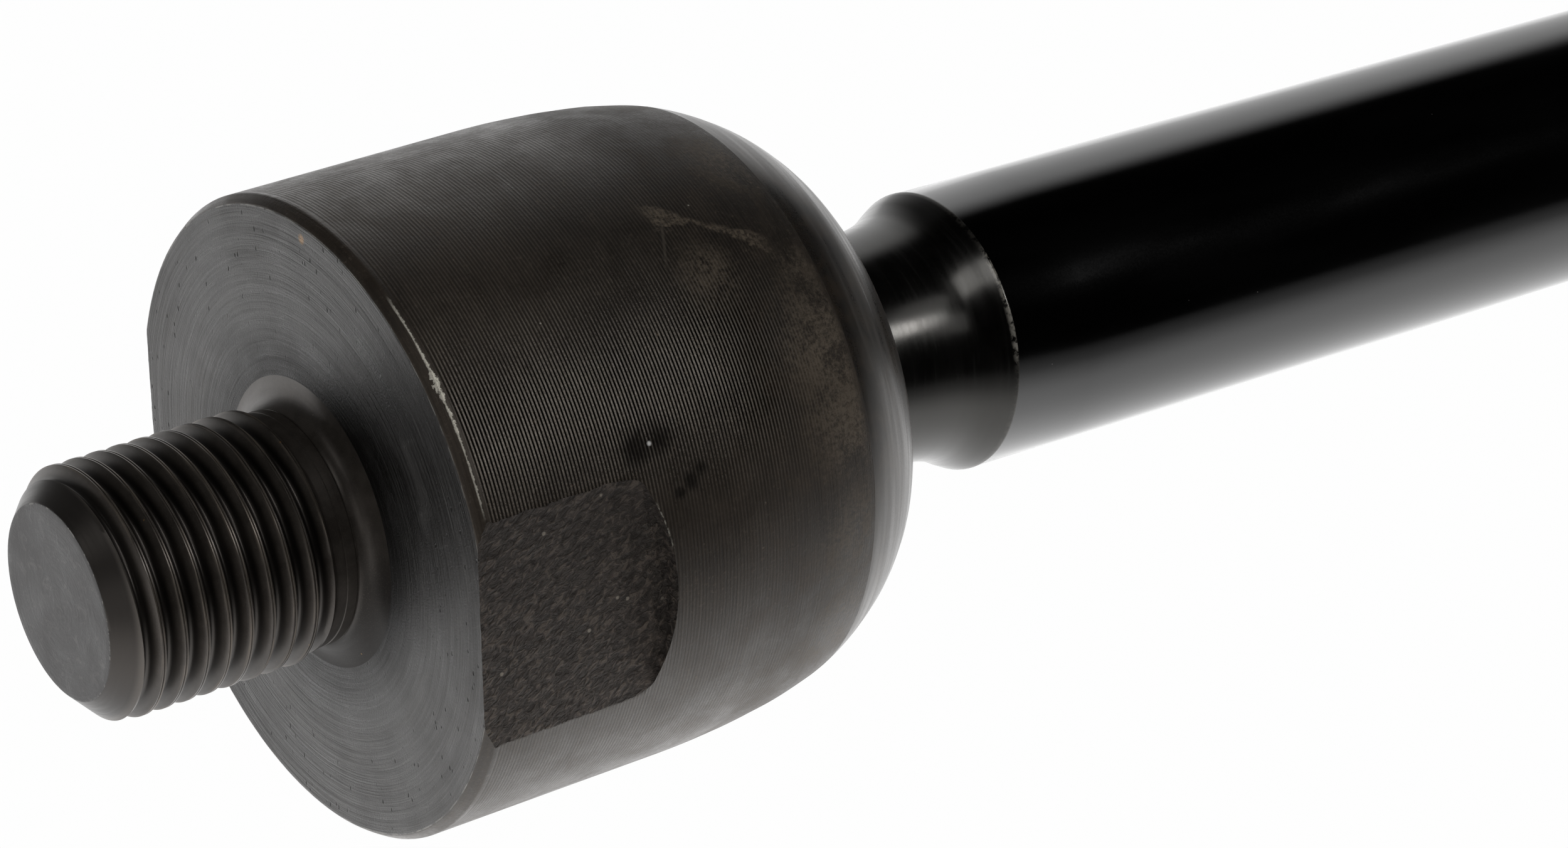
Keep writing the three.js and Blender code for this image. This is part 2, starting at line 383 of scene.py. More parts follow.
def mat_barrel():
    m = Mat("phosphated_turned_steel")
    broad = m.noise(scale=0.07, detail=4, rough=0.6)
    mid = m.noise(scale=0.35, detail=5, rough=0.62, warp=0.4)
    streak = m.ring_noise(m.x, 2.6, 2.2, 3, 0.55)
    fine = m.ring_noise(m.x, 9.0, 5.0, 2, 0.6)
    grain = m.noise(scale=9.0, detail=3, rough=0.7)
    far = m.map(m.x, 27.0, 44.0)
    brown = m.math("MULTIPLY", m.map(mid, 0.42, 0.66), m.lerp(far, 0.25, 0.85))
    base = m.mix(m.map(broad, 0.35, 0.65), (0.0195, 0.0145, 0.0106), (0.0310, 0.0236, 0.0176))
    base = m.mix(brown, base, (0.0440, 0.0320, 0.0222))
    base = m.mix(m.math("MULTIPLY", m.map(streak, 0.50, 0.72), 0.22), base, (0.060, 0.049, 0.038))
    base = m.mix(m.math("MULTIPLY", m.map(fine, 0.35, 0.55, 1.0, 0.0), 0.40), base, (0.005, 0.0045, 0.004))
    # painted highlight on the crests between the turning grooves and painted shade in their bottoms, full only in the
    # height band where the lights reflect; the crests are also paler from wear
    turn_at = m.math("FRACT", m.math("DIVIDE", m.math("SUBTRACT", m.x, 18.523 - 0.5 * FEED), FEED))
    crest = m.map(m.math("ABSOLUTE", m.math("SUBTRACT", turn_at, 0.5)), 0.34, 0.06)
    lit_band_grooves = m.math("MULTIPLY", m.map(m.x, 18.4, 18.7), m.map(m.x, 46.0, 35.5))
    lit_band_grooves = m.math("MULTIPLY", lit_band_grooves, m.math("MULTIPLY", m.map(m.z, 3.5, 10.8, 0.20, 1.0), m.map(m.z, 18.5, 13.2, 0.28, 1.0)))
    rub = m.map(m.noise(scale=0.22, detail=4, rough=0.65, warp=0.6), 0.34, 0.66, 0.30, 1.0)
    base = m.mix(m.math("MULTIPLY", m.math("MULTIPLY", lit_band_grooves, 0.96), m.math("SUBTRACT", 1.0, crest)), base, (0.0022, 0.0018, 0.0014))
    base = m.mix(m.math("MULTIPLY", m.math("MULTIPLY", crest, lit_band_grooves), m.math("MULTIPLY", rub, m.map(grain, 0.35, 0.60, 0.30, 1.0))), base, (0.180, 0.154, 0.124))
    shade = m.math("MULTIPLY", m.map(m.z, 8.5, 14.0), m.map(m.x, 22.0, 36.0))
    base = m.mix(m.math("MULTIPLY", shade, 0.42), base, (0.0050, 0.0042, 0.0034))
    # sandy brown bloom towards the rolled end
    sand = m.noise(scale=3.6, detail=5, rough=0.80)
    bloom = 0.0
    for point, inner, outer, much in (((45.4, -16.6, 10.8), 1.5, 6.0, 1.0), ((45.0, -18.3, 6.4), 1.0, 5.0, 1.0), ((45.2, -13.4, 14.4), 0.5, 2.8, 0.55), ((38.6, -13.0, 16.0), 0.3, 3.2, 0.75),
                                      ((45.6, -5.0, 18.9), 0.5, 5.0, 0.60), ((44.8, -19.3, -0.5), 0.5, 5.5, 0.55), ((45.2, -17.6, -7.5), 0.5, 5.0, 0.60),
                                      ((46.0, 9.0, 17.0), 1.0, 8.0, 1.0), ((45.0, 15.0, -12.0), 1.0, 8.0, 1.0), ((44.5, -6.0, -19.0), 1.0, 7.0, 1.0)):
        bloom = m.max(bloom, m.math("MULTIPLY", m.near(point, inner, outer), much))
    bloom = m.math("MULTIPLY", bloom, m.map(m.x, 46.6, 45.8))
    bloom = m.math("MULTIPLY", bloom, m.map(m.math("ADD", m.math("MULTIPLY", mid, 0.55), m.math("MULTIPLY", sand, 0.45)), 0.38, 0.56))
    base = m.mix(m.math("MULTIPLY", bloom, m.map(sand, 0.36, 0.62, 0.30, 1.0)), base, (0.130, 0.105, 0.078))
    peppered = m.math("MULTIPLY", m.map(sand, 0.40, 0.30), m.map(m.x, 34.0, 42.0, 0.25, 0.8))
    base = m.mix(peppered, base, (0.0040, 0.0034, 0.0030))
    dusty = m.math("MULTIPLY", m.map(sand, 0.54, 0.70), m.map(mid, 0.35, 0.62, 0.25, 0.75))
    base = m.mix(dusty, base, (0.092, 0.073, 0.055))
    # two rubbed scratches on the upper front
    t_ = m.math("SUBTRACT", m.x, 37.17)
    along = m.math("SUBTRACT", 18.67, m.math("ADD", m.math("MULTIPLY", t_, 0.25), m.math("MULTIPLY", m.math("MULTIPLY", t_, t_), 0.022)))
    jitter = m.math("MULTIPLY", m.math("SUBTRACT", m.noise(scale=0.9, detail=4, rough=0.6), 0.5), 1.1)
    miss = m.math("ABSOLUTE", m.math("SUBTRACT", m.math("ADD", m.z, jitter), along))
    front = m.math("MULTIPLY", m.map(m.y, -7.0, -8.0), m.math("MULTIPLY", m.map(m.x, 36.4, 37.4), m.map(m.x, 44.4, 42.6)))
    wide = m.max(m.near((37.6, -9.0, 18.5), 0.3, 2.0), m.near((43.2, -11.8, 16.3), 0.5, 2.6))
    scratch = m.math("MULTIPLY", m.map(m.math("SUBTRACT", miss, m.math("MULTIPLY", wide, 0.34)), 0.22, 0.02), front)
    scratch = m.math("MULTIPLY", scratch, m.map(sand, 0.40, 0.60, 0.12, 0.85))
    base = m.mix(scratch, base, (0.130, 0.104, 0.076))
    second = m.math("ABSOLUTE", m.math("SUBTRACT", m.x, m.math("ADD", 42.87, m.math("MULTIPLY", m.y, 0.5625))))
    second = m.math("MULTIPLY", m.map(second, 0.16, 0.04), m.math("MULTIPLY", m.map(m.y, -9.2, -9.9), m.math("MULTIPLY", m.map(m.y, -12.4, -11.4), m.map(m.z, 0.0, 1.0))))
    base = m.mix(m.math("MULTIPLY", second, 0.40), base, (0.100, 0.085, 0.068))
    # bright metal where the front corner is worn, ragged and widest in the middle (25 to 62 degrees above -Y)
    aside = m.math("SUBTRACT", m.math("MULTIPLY", m.z, 0.688), m.math("MULTIPLY", m.y, 0.726))
    side = m.map(aside, 19.2, 19.8)
    mid_side = m.map(aside, 20.1, 20.6)
    ragged = m.noise(scale=3.4, detail=5, rough=0.78)
    broken = m.noise(scale=0.55, detail=3, rough=0.6)
    off = m.math("ABSOLUTE", m.math("SUBTRACT", m.x, m.math("ADD", 18.20, m.math("MULTIPLY", m.math("SUBTRACT", ragged, 0.5), 0.16))))
    width = m.math("MULTIPLY", m.map(m.math("ADD", m.math("MULTIPLY", ragged, 0.6), m.math("MULTIPLY", broken, 0.4)), 0.38, 0.66, 0.010, 0.11),
                   m.lerp(mid_side, 0.75, 1.25))
    knock = m.math("MULTIPLY", m.near((18.3, -14.2, 14.9), 0.25, 1.1), 0.22)
    width = m.math("ADD", width, m.math("MULTIPLY", knock, m.map(ragged, 0.35, 0.6)))
    wear_and_glint = m.math("MULTIPLY", m.math("MULTIPLY", m.map(m.math("SUBTRACT", off, width), 0.045, -0.02), side), m.map(grain, 0.30, 0.52, 0.35, 1.0))
    stray = m.math("MULTIPLY", m.math("MULTIPLY", m.map(m.math("ABSOLUTE", m.math("SUBTRACT", m.x, 18.25)), 0.30, 0.02), m.map(ragged, 0.64, 0.72)), 0.4)
    wear_and_glint = m.max(wear_and_glint, stray)
    # painted glint: a thin pale line on the upper end of the flat's rounded edge, added to the wear mask
    round_end = m.math("SQRT", m.math("ADD", m.math("POWER", m.math("SUBTRACT", m.x, 13.26), 2.0), m.math("MULTIPLY", m.z, m.z)))
    glint = m.math("MULTIPLY", m.map(m.math("ABSOLUTE", m.math("SUBTRACT", round_end, 17.54)), 0.09, 0.02),
                   m.math("MULTIPLY", m.near((30.2, -20.0, 4.3), 0.9, 2.0), m.map(ragged, 0.44, 0.56)))
    wear_and_glint = m.max(wear_and_glint, m.math("MULTIPLY", glint, 0.5))
    # oily smudges
    blur = m.math("MULTIPLY", m.math("SUBTRACT", m.noise(scale=1.6, detail=4, rough=0.7), 0.5), 1.5)
    smudge = 0.0
    for point, inner, outer in (((29.3, -18.5, 9.1), 0.0, 2.3), ((30.9, -18.4, 9.2), 0.0, 1.9), ((32.5, -19.6, 6.5), 0.0, 1.3), ((31.6, -19.75, 6.0), 0.0, 0.9), ((33.3, -19.4, 7.0), 0.0, 1.0)):
        smudge = m.max(smudge, m.near(point, inner, outer))
    smudge = m.math("ADD", smudge, m.math("MULTIPLY", blur, 0.50))
    smudge = m.math("ADD", smudge, m.math("MULTIPLY", m.math("SUBTRACT", m.noise(scale=4.5, detail=4, rough=0.75), 0.5), 0.9))
    smudge = m.math("MULTIPLY", m.map(smudge, 0.22, 1.05), 0.80)
    dots = m.specks(0.9, 0.66, 0.10)
    white = m.specks(0.42, 0.70, 0.035)
    base = m.mix(smudge, base, (0.0022, 0.0018, 0.0015))
    base = m.mix(wear_and_glint, base, (0.62, 0.59, 0.51))
    base = m.mix(m.math("MULTIPLY", dots, 0.6), base, (0.11, 0.08, 0.055))
    base = m.mix(m.math("MULTIPLY", white, 0.8), base, (0.42, 0.39, 0.34))
    base = m.mix(m.near((30.23, -18.49, 9.18), 0.06, 0.20), base, (0.75, 0.74, 0.72))
    rough = m.math("ADD", m.lerp(m.map(mid, 0.3, 0.7), 0.34, 0.47), m.math("MULTIPLY", m.math("SUBTRACT", grain, 0.5), 0.20))
    upper = m.math("MULTIPLY", lit_band_grooves, m.map(m.z, 1.0, 7.0))
    polished = m.math("MULTIPLY", upper, crest)
    rough = m.math("ADD", rough, m.math("MULTIPLY", lit_band_grooves, m.lerp(crest, 0.12, -0.13)))
    rough = m.math("SUBTRACT", rough, m.math("MULTIPLY", polished, 0.06))
    rough = m.math("ADD", rough, m.math("MULTIPLY", m.math("SUBTRACT", sand, 0.5), 0.30))
    rough = m.lerp(wear_and_glint, rough, 0.42)
    rough = m.math("ADD", rough, m.map(m.x, 35.0, 41.0, 0.0, 0.12))
    rough = m.lerp(smudge, rough, 0.60)
    height = m.math("ADD", m.math("MULTIPLY", fine, 0.8), m.math("MULTIPLY", grain, 0.45))
    height = m.math("ADD", height, m.math("MULTIPLY", mid, 0.5))
    height = m.math("ADD", height, m.math("MULTIPLY", dots, -0.6))
    height = m.math("ADD", height, m.math("MULTIPLY", sand, 1.1))
    dull = m.math("MULTIPLY", m.map(m.x, 34.0, 40.0), m.map(m.z, 2.0, 9.0))
    return m.set(color=base, rough=rough, metal=m.math("MULTIPLY", wear_and_glint, 0.6), normal=m.bump(height, 0.60, 0.00004), ior=1.50,
                 tint=m.mix(m.map(m.z, -1.0, 5.0), (1.0, 0.945, 0.890), (1.0, 0.905, 0.810)),
                 spec=m.lerp(smudge, m.math("ADD", m.lerp(dull, 0.5, 0.30), m.math("MULTIPLY", upper, m.lerp(crest, -0.48, 0.56))), 0.10))


def mat_lip():
    m = Mat("burnished_rolled_steel")
    mid = m.noise(scale=0.5, detail=5, rough=0.6, warp=0.5)
    streak = m.ring_noise(m.r, 3.2, 1.6, 3, 0.55)
    grain = m.noise(scale=8.0, detail=3, rough=0.7)
    base = m.mix(m.map(mid, 0.4, 0.65), (0.015, 0.0130, 0.0112), (0.030, 0.0230, 0.0170))
    base = m.mix(m.math("MULTIPLY", m.map(streak, 0.52, 0.74), 0.5), base, (0.060, 0.054, 0.048))
    rough = m.math("ADD", m.lerp(m.map(streak, 0.3, 0.7), 0.27, 0.40), m.math("MULTIPLY", m.math("SUBTRACT", grain, 0.5), 0.14))
    height = m.math("ADD", m.math("MULTIPLY", streak, 0.8), m.math("MULTIPLY", grain, 0.3))
    return m.set(color=base, rough=rough, metal=0.0, normal=m.bump(height, 0.25, 0.00003), ior=1.55, tint=(1.0, 0.945, 0.890))


def mat_face():
    m = Mat("phosphated_shoulder_face")
    blot = m.noise(scale=0.13, detail=4, rough=0.6, warp=0.6)
    cloud = m.ring_noise(m.math("MULTIPLY", m.r, 1.0), 0.45, 2.2, 4, 0.6, 0.5)
    turn = m.ring_noise(m.r, 4.6, 1.6, 4, 0.62)
    arcs = m.ring_noise(m.r, 9.0, 3.5, 2, 0.6)
    grain = m.noise(scale=7.0, detail=4, rough=0.75)
    outer = m.map(m.r, 13.0, 17.5)
    scr = m.noise(m.vec(m.math("MULTIPLY", m.y, 0.35), m.math("ADD", m.math("MULTIPLY", m.z, 3.0), m.math("MULTIPLY", m.y, 1.9)), 0.0), 1.0, 2, 0.5)
    # short upright pits, close together near the rim
    dash = m.vec(0.0, m.math("MULTIPLY", m.y, 2.3), m.math("MULTIPLY", m.z, 1.0))
    pit = m.math("MULTIPLY", m.map(m.voronoi(dash, 1.0), 0.20, 0.09), m.map(m.noise(dash, 0.8, 1.0), 0.50, 0.60))
    pit = m.math("MULTIPLY", pit, m.lerp(outer, 0.12, 1.0))
    base = m.mix(m.map(blot, 0.38, 0.64), (0.0045, 0.0042, 0.0039), (0.0090, 0.0086, 0.0080))
    base = m.mix(m.math("MULTIPLY", m.map(turn, 0.52, 0.72), 0.60), base, (0.032, 0.031, 0.030))
    base = m.mix(m.math("MULTIPLY", m.map(cloud, 0.50, 0.68), 0.60), base, (0.048, 0.046, 0.044))
    base = m.mix(m.math("MULTIPLY", m.map(cloud, 0.46, 0.34), 0.60), base, (0.0022, 0.0020, 0.0018))
    base = m.mix(m.math("MULTIPLY", m.math("MULTIPLY", m.map(arcs, 0.58, 0.74), outer), 0.55), base, (0.085, 0.082, 0.078))
    base = m.mix(m.math("MULTIPLY", m.map(scr, 0.66, 0.74), 0.35), base, (0.07, 0.068, 0.066))
    # painted shade round the foot of the stud: the face darkens towards its inner edge
    base = m.mix(m.map(m.r, 12.5, 10.0, 0.0, 0.75), base, (0.0035, 0.0032, 0.0030))
    base = m.mix(pit, base, (0.0020, 0.0018, 0.0016))
    base = m.mix(m.math("MULTIPLY", m.near((17.55, -0.54, 19.3), 0.12, 0.42), m.map(grain, 0.35, 0.5)), base, (0.34, 0.17, 0.035))
    # a thin pale line where the face meets its chamfer
    rim = m.math("MULTIPLY", m.map(m.math("ABSOLUTE", m.math("SUBTRACT", m.r, 20.12)), 0.09, 0.0), m.map(m.noise(scale=0.8, detail=4), 0.44, 0.62))
    base = m.mix(m.math("MULTIPLY", rim, 0.75), base, (0.22, 0.21, 0.19))
    rough = m.math("ADD", m.lerp(m.map(blot, 0.3, 0.7), 0.31, 0.43), m.math("MULTIPLY", m.math("SUBTRACT", turn, 0.5), 0.42))
    rough = m.math("ADD", rough, m.math("MULTIPLY", m.math("SUBTRACT", cloud, 0.5), 0.30))
    rough = m.math("ADD", rough, m.math("MULTIPLY", pit, 0.25))
    height = m.math("ADD", m.math("MULTIPLY", turn, 1.0), m.math("MULTIPLY", grain, 0.45))
    height = m.math("ADD", height, m.math("MULTIPLY", m.math("MULTIPLY", arcs, outer), 0.6))
    height = m.math("SUBTRACT", height, m.math("MULTIPLY", pit, 1.6))
    return m.set(color=base, rough=rough, metal=0.0, normal=m.bump(height, 0.95, 0.00009), ior=1.50, tint=(1.0, 0.962, 0.938),
                 spec=m.map(m.r, 14.0, 9.5, 0.5, 0.22))


def mat_thread(name, rod, crest, last):
    m = Mat(name, rod=rod)
    run = m.ring_noise(m.x, 6.0, 2.0, 3, 0.6)
    mid = m.noise(scale=0.8, detail=4, rough=0.6)
    grain = m.noise(scale=11.0, detail=2, rough=0.7)
    threaded = m.map(m.x, last + 0.15, last - 0.15) if not rod else 1.0
    top = m.math("MULTIPLY", m.map(m.r, crest - 0.16, crest - 0.02), threaded)
    base = m.mix(m.map(mid, 0.35, 0.65), (0.0260, 0.0222, 0.0188), (0.0410, 0.0355, 0.0306))
    if not rod:
        base = m.mix(m.math("MULTIPLY", m.map(m.x, 1.95, 1.55), m.map(m.x, -0.1, 0.1)), base, (0.105, 0.094, 0.084))
        # painted shade on the lower side of the fillet under the shoulder
        base = m.mix(m.math("MULTIPLY", m.math("MULTIPLY", m.map(m.x, 16.45, 16.80), m.map(m.z, 4.0, -1.0)), 0.90), base, (0.0075, 0.0066, 0.0060))
    base = m.mix(m.map(grain, 0.52, 0.70, 0.0, 0.35), base, (0.080, 0.070, 0.060))
    # painted shade in the thread roots
    root_shade = m.math("MULTIPLY", m.map(m.r, crest - 0.72, crest - 0.28, 1.0, 0.0), threaded)
    base = m.mix(m.math("MULTIPLY", root_shade, 0.93), base, (0.0022, 0.0018, 0.0016))
    shine = m.math("MULTIPLY", top, m.map(run, 0.42, 0.68))
    base = m.mix(m.math("MULTIPLY", shine, 0.75), base, (0.140, 0.118, 0.096))
    if not rod:
        # painted shade: the stud thread darkens towards its underside
        base = m.mix(m.map(m.z, -1.0, -5.5, 0.0, 0.45), base, (0.0060, 0.0052, 0.0046))
    dots = m.specks(1.0, 0.68, 0.09)
    base = m.mix(m.math("MULTIPLY", dots, 0.8), base, (0.22, 0.13, 0.05))
    flecks = m.specks(0.8, 0.72, 0.05)
    base = m.mix(m.math("MULTIPLY", flecks, 0.8), base, (0.42, 0.38, 0.32))
    rough = m.math("ADD", m.lerp(top, 0.36, 0.30), m.math("MULTIPLY", m.math("SUBTRACT", run, 0.5), 0.20))
    spec = 0.5
    if not rod:
        spec = m.math("MULTIPLY", m.lerp(m.math("MULTIPLY", m.map(m.x, 16.3, 16.9), m.map(m.z, 3.0, -1.5)), 0.5, 0.14), m.map(m.z, -1.5, -6.0, 1.0, 0.60))
    height = m.math("ADD", m.math("MULTIPLY", run, 0.7), m.math("MULTIPLY", grain, 0.35))
    return m.set(color=base, rough=rough, metal=m.math("MULTIPLY", shine, 0.25), normal=m.bump(height, 0.28, 0.00002), ior=1.50, tint=(1.0, 0.905, 0.830), spec=spec)


def mat_end_face(name, rod=False):
    m = Mat(name, rod=rod)
    turn = m.ring_noise(m.r, 4.2, 1.5, 3, 0.6)
    blot = m.noise(scale=0.35, detail=4, rough=0.6, warp=0.5)
    grain = m.noise(scale=8.0, detail=3, rough=0.7)
    base = m.mix(m.map(blot, 0.38, 0.64), (0.0100, 0.0092, 0.0092), (0.0260, 0.0240, 0.0240))
    base = m.mix(m.math("MULTIPLY", m.map(turn, 0.50, 0.76), m.lerp(m.map(m.r, 2.6, 0.6), 0.14, 0.34)), base, (0.045, 0.044, 0.043))
    dots = m.specks(1.6, 0.72, 0.09)
    base = m.mix(m.math("MULTIPLY", dots, 0.7), base, (0.012, 0.011, 0.010))
    swirl = m.noise(scale=1.1, detail=5, rough=0.72, warp=0.8)
    base = m.mix(m.math("MULTIPLY", m.map(swirl, 0.52, 0.68), 0.60), base, (0.070, 0.065, 0.062))
    base = m.mix(m.math("MULTIPLY", m.map(m.r, 1.9, 0.2), m.map(swirl, 0.55, 0.42)), base, (0.0080, 0.0062, 0.0055))
    # painted edge highlight: a pale broken line round the outer edge of the end face, partly real nicks
    nicks_and_edge_highlight = m.math("MULTIPLY", m.map(m.r, 6.05, 6.18), m.map(m.noise(scale=1.5, detail=4, rough=0.7), 0.50, 0.64))
    base = m.mix(m.math("MULTIPLY", nicks_and_edge_highlight, 0.7), base, (0.26, 0.25, 0.23))
    rough = m.math("ADD", m.lerp(m.map(blot, 0.3, 0.7), 0.42, 0.54), m.math("MULTIPLY", m.math("SUBTRACT", grain, 0.5), 0.12))
    height = m.math("ADD", m.math("MULTIPLY", turn, 0.6), m.math("MULTIPLY", grain, 0.4))
    return m.set(color=base, rough=rough, metal=0.0, normal=m.bump(m.math("ADD", height, m.math("MULTIPLY", swirl, 0.8)), 0.60, 0.00006), ior=1.50, tint=(1.0, 0.975, 0.97))


def mat_forged():
    m = Mat("forged_wrench_flat")
    slant = m.vec(m.math("ADD", m.math("MULTIPLY", m.x, 1.00), m.math("MULTIPLY", m.z, -0.15)), m.y,
                  m.math("ADD", m.math("MULTIPLY", m.z, 1.30), m.math("MULTIPLY", m.x, -0.42)))
    lump = m.noise(slant, 0.95, 4, 0.66, 0.35)
    pebble = m.noise(slant, 2.0, 3, 0.60, 0.8)
    mid = m.noise(scale=0.4, detail=4, rough=0.6)
    grain = m.noise(scale=8.0, detail=4, rough=0.75)
    base = m.mix(m.map(mid, 0.35, 0.65), (0.0275, 0.0228, 0.0196), (0.0380, 0.0312, 0.0268))
    base = m.mix(m.math("MULTIPLY", m.map(pebble, 0.40, 0.50, 1.0, 0.0), 0.90), base, (0.0035, 0.0028, 0.0024))
    base = m.mix(m.math("MULTIPLY", m.map(pebble, 0.53, 0.63), 0.80), base, (0.118, 0.095, 0.077))
    base = m.mix(m.math("MULTIPLY", m.map(grain, 0.58, 0.72), 0.35), base, (0.080, 0.063, 0.052))
    dots = m.specks(0.95, 0.70, 0.07)
    for point in ((27.98, -19.3, -0.23), (27.26, -19.3, 0.05), (30.44, -19.3, -0.94), (25.18, -19.3, -1.50), (22.17, -19.2, 5.92), (18.9, -19.3, -2.4), (26.3, -19.2, 7.2)):
        dots = m.max(dots, m.near(point, 0.08, 0.17))
    base = m.mix(m.math("MULTIPLY", dots, 0.8), base, (0.38, 0.34, 0.28))
    rough = m.math("ADD", 0.50, m.math("MULTIPLY", m.math("SUBTRACT", grain, 0.5), 0.25))
    height = m.math("ADD", m.math("MULTIPLY", lump, 0.9), m.math("ADD", m.math("MULTIPLY", pebble, 1.1), m.math("MULTIPLY", grain, 0.30)))
    return m.set(color=base, rough=rough, metal=0.0, normal=m.bump(height, 1.0, 0.00050), ior=1.5, tint=(1.0, 0.870, 0.780))


def mat_inside():
    m = Mat("machined_cup_bore")
    turn = m.ring_noise(m.x, 5.0, 1.5, 3, 0.6)
    mid = m.noise(scale=0.4, detail=3)
    base = m.mix(m.map(mid, 0.35, 0.65), (0.045, 0.043, 0.040), (0.075, 0.071, 0.066))
    base = m.mix(m.math("MULTIPLY", m.map(turn, 0.5, 0.75), 0.5), base, (0.14, 0.135, 0.125))
    rough = m.lerp(turn, 0.30, 0.50)
    return m.set(color=base, rough=rough, metal=0.5, normal=m.bump(turn, 0.3, 0.00002))


def mat_paint():
    m = Mat("gloss_black_rod_paint", rod=True)
    peel = m.noise(scale=0.55, detail=2, rough=0.4)
    long = m.noise(m.vec(m.math("MULTIPLY", m.x, 0.05), m.math("MULTIPLY", m.y, 0.3), m.math("MULTIPLY", m.z, 0.3)), 1.0, 2, 0.5)
    fine = m.noise(scale=6.0, detail=2, rough=0.6)
    dust = m.specks(0.75, 0.70, 0.045)
    base = m.mix(m.map(long, 0.35, 0.65), (0.0006, 0.0006, 0.0006), (0.0013, 0.0013, 0.0013))
    base = m.mix(m.math("MULTIPLY", dust, 0.5), base, (0.16, 0.15, 0.14))
    rough = m.math("ADD", m.lerp(m.map(long, 0.3, 0.7), 0.105, 0.155), m.math("MULTIPLY", m.math("SUBTRACT", fine, 0.5), 0.06))
    rough = m.math("ADD", rough, m.math("MULTIPLY", dust, 0.3))
    height = m.math("ADD", m.math("MULTIPLY", peel, 1.0), m.math("MULTIPLY", fine, 0.06))
    return m.set(color=base, rough=rough, metal=0.0, normal=m.bump(height, 0.10, 0.00003), ior=1.50, coat=0.0, coat_rough=0.10)


def mat_neck():
    m = Mat("satin_neck", rod=True)
    turn = m.ring_noise(m.x, 3.0, 1.6, 3, 0.55)
    mid = m.noise(scale=0.6, detail=4, rough=0.6)
    fine = m.noise(scale=7.0, detail=2, rough=0.6)
    base = m.mix(m.map(mid, 0.35, 0.65), (0.0012, 0.0011, 0.0010), (0.0030, 0.0028, 0.0026))
    base = m.mix(m.math("MULTIPLY", m.map(turn, 0.54, 0.74), 0.35), base, (0.012, 0.0115, 0.011))
    ragged = m.noise(scale=2.2, detail=4, rough=0.7)
    aside = m.math("SUBTRACT", m.math("MULTIPLY", m.z, 0.545), m.math("MULTIPLY", m.y, 0.839))
    edge = m.math("MULTIPLY", m.map(m.math("ABSOLUTE", m.math("SUBTRACT", m.x, 24.12)), 0.30, 0.04), m.map(ragged, 0.40, 0.58))
    edge = m.math("MULTIPLY", edge, m.map(aside, 8.45, 8.95, 0.10, 1.0))
    base = m.mix(m.math("MULTIPLY", edge, 0.8), base, (0.26, 0.245, 0.215))
    rough = m.math("ADD", m.lerp(m.map(turn, 0.3, 0.7), 0.19, 0.23), m.math("MULTIPLY", m.math("SUBTRACT", fine, 0.5), 0.06))
    height = m.math("ADD", m.math("MULTIPLY", turn, 0.6), m.math("MULTIPLY", fine, 0.2))
    return m.set(color=base, rough=rough, metal=0.0, normal=m.bump(height, 0.08, 0.00002), ior=1.50, tint=(1.0, 0.975, 0.92))


def mat_zinc():
    m = Mat("yellow_zinc_nut", rod=True)
    mid = m.noise(scale=0.22, detail=4, rough=0.6, warp=1.2)
    fine = m.noise(scale=5.0, detail=3, rough=0.7)
    tool = m.noise(m.vec(m.math("MULTIPLY", m.x, 0.6), m.math("MULTIPLY", m.y, 3.5), m.math("MULTIPLY", m.z, 3.5)), 1.0, 3, 0.6)
    base = m.mix(m.map(mid, 0.36, 0.62), (0.62, 0.58, 0.46), (0.52, 0.43, 0.27))
    base = m.mix(m.math("MULTIPLY", m.map(fine, 0.56, 0.74), 0.5), base, (0.30, 0.27, 0.22))
    rough = m.math("ADD", m.lerp(tool, 0.24, 0.42), m.math("MULTIPLY", m.math("SUBTRACT", fine, 0.5), 0.2))
    height = m.math("ADD", m.math("MULTIPLY", tool, 0.6), m.math("MULTIPLY", fine, 0.4))
    return m.set(color=base, rough=rough, metal=0.92, normal=m.bump(height, 0.22, 0.00003))


def mat_ball():
    m = Mat("ground_ball_with_grease", rod=True)
    arcs = m.ring_noise(m.x, 7.0, 3.0, 2, 0.5)
    film = m.noise(scale=0.25, detail=4, rough=0.55, warp=0.8)
    base = m.mix(m.map(film, 0.45, 0.66), (0.42, 0.42, 0.43), (0.16, 0.11, 0.055))
    rough = m.math("ADD", m.lerp(m.map(film, 0.45, 0.66), 0.12, 0.30), m.math("MULTIPLY", m.math("SUBTRACT", arcs, 0.5), 0.10))
    return m.set(color=base, rough=rough, metal=m.lerp(m.map(film, 0.45, 0.66), 1.0, 0.35), normal=m.bump(arcs, 0.08, 0.00001))


def mat_seat():
    m = Mat("acetal_ball_seat")
    flow = m.noise(scale=0.18, detail=3, rough=0.5, warp=1.0)
    fine = m.noise(scale=6.0, detail=3, rough=0.7)
    stain = m.noise(scale=0.4, detail=4, rough=0.6)
    base = m.mix(m.map(flow, 0.35, 0.65), (0.70, 0.66, 0.54), (0.78, 0.75, 0.65))
    base = m.mix(m.math("MULTIPLY", m.map(stain, 0.55, 0.75), 0.5), base, (0.34, 0.25, 0.13))
    rough = m.math("ADD", 0.38, m.math("MULTIPLY", m.math("SUBTRACT", fine, 0.5), 0.2))
    return m.set(color=base, rough=rough, metal=0.0, subsurface=0.08, normal=m.bump(m.math("ADD", m.math("MULTIPLY", fine, 0.4), flow), 0.15, 0.00003))


def mat_spring():
    m = Mat("blued_spring_steel")
    turn = m.ring_noise(m.r, 3.5, 1.4, 3, 0.6)
    heat = m.noise(scale=0.2, detail=3, rough=0.5)
    base = m.mix(m.map(heat, 0.35, 0.65), (0.075, 0.085, 0.115), (0.13, 0.115, 0.10))
    base = m.mix(m.math("MULTIPLY", m.map(turn, 0.5, 0.75), 0.5), base, (0.26, 0.26, 0.28))
    return m.set(color=base, rough=m.lerp(turn, 0.26, 0.42), metal=0.9, normal=m.bump(turn, 0.25, 0.00002))


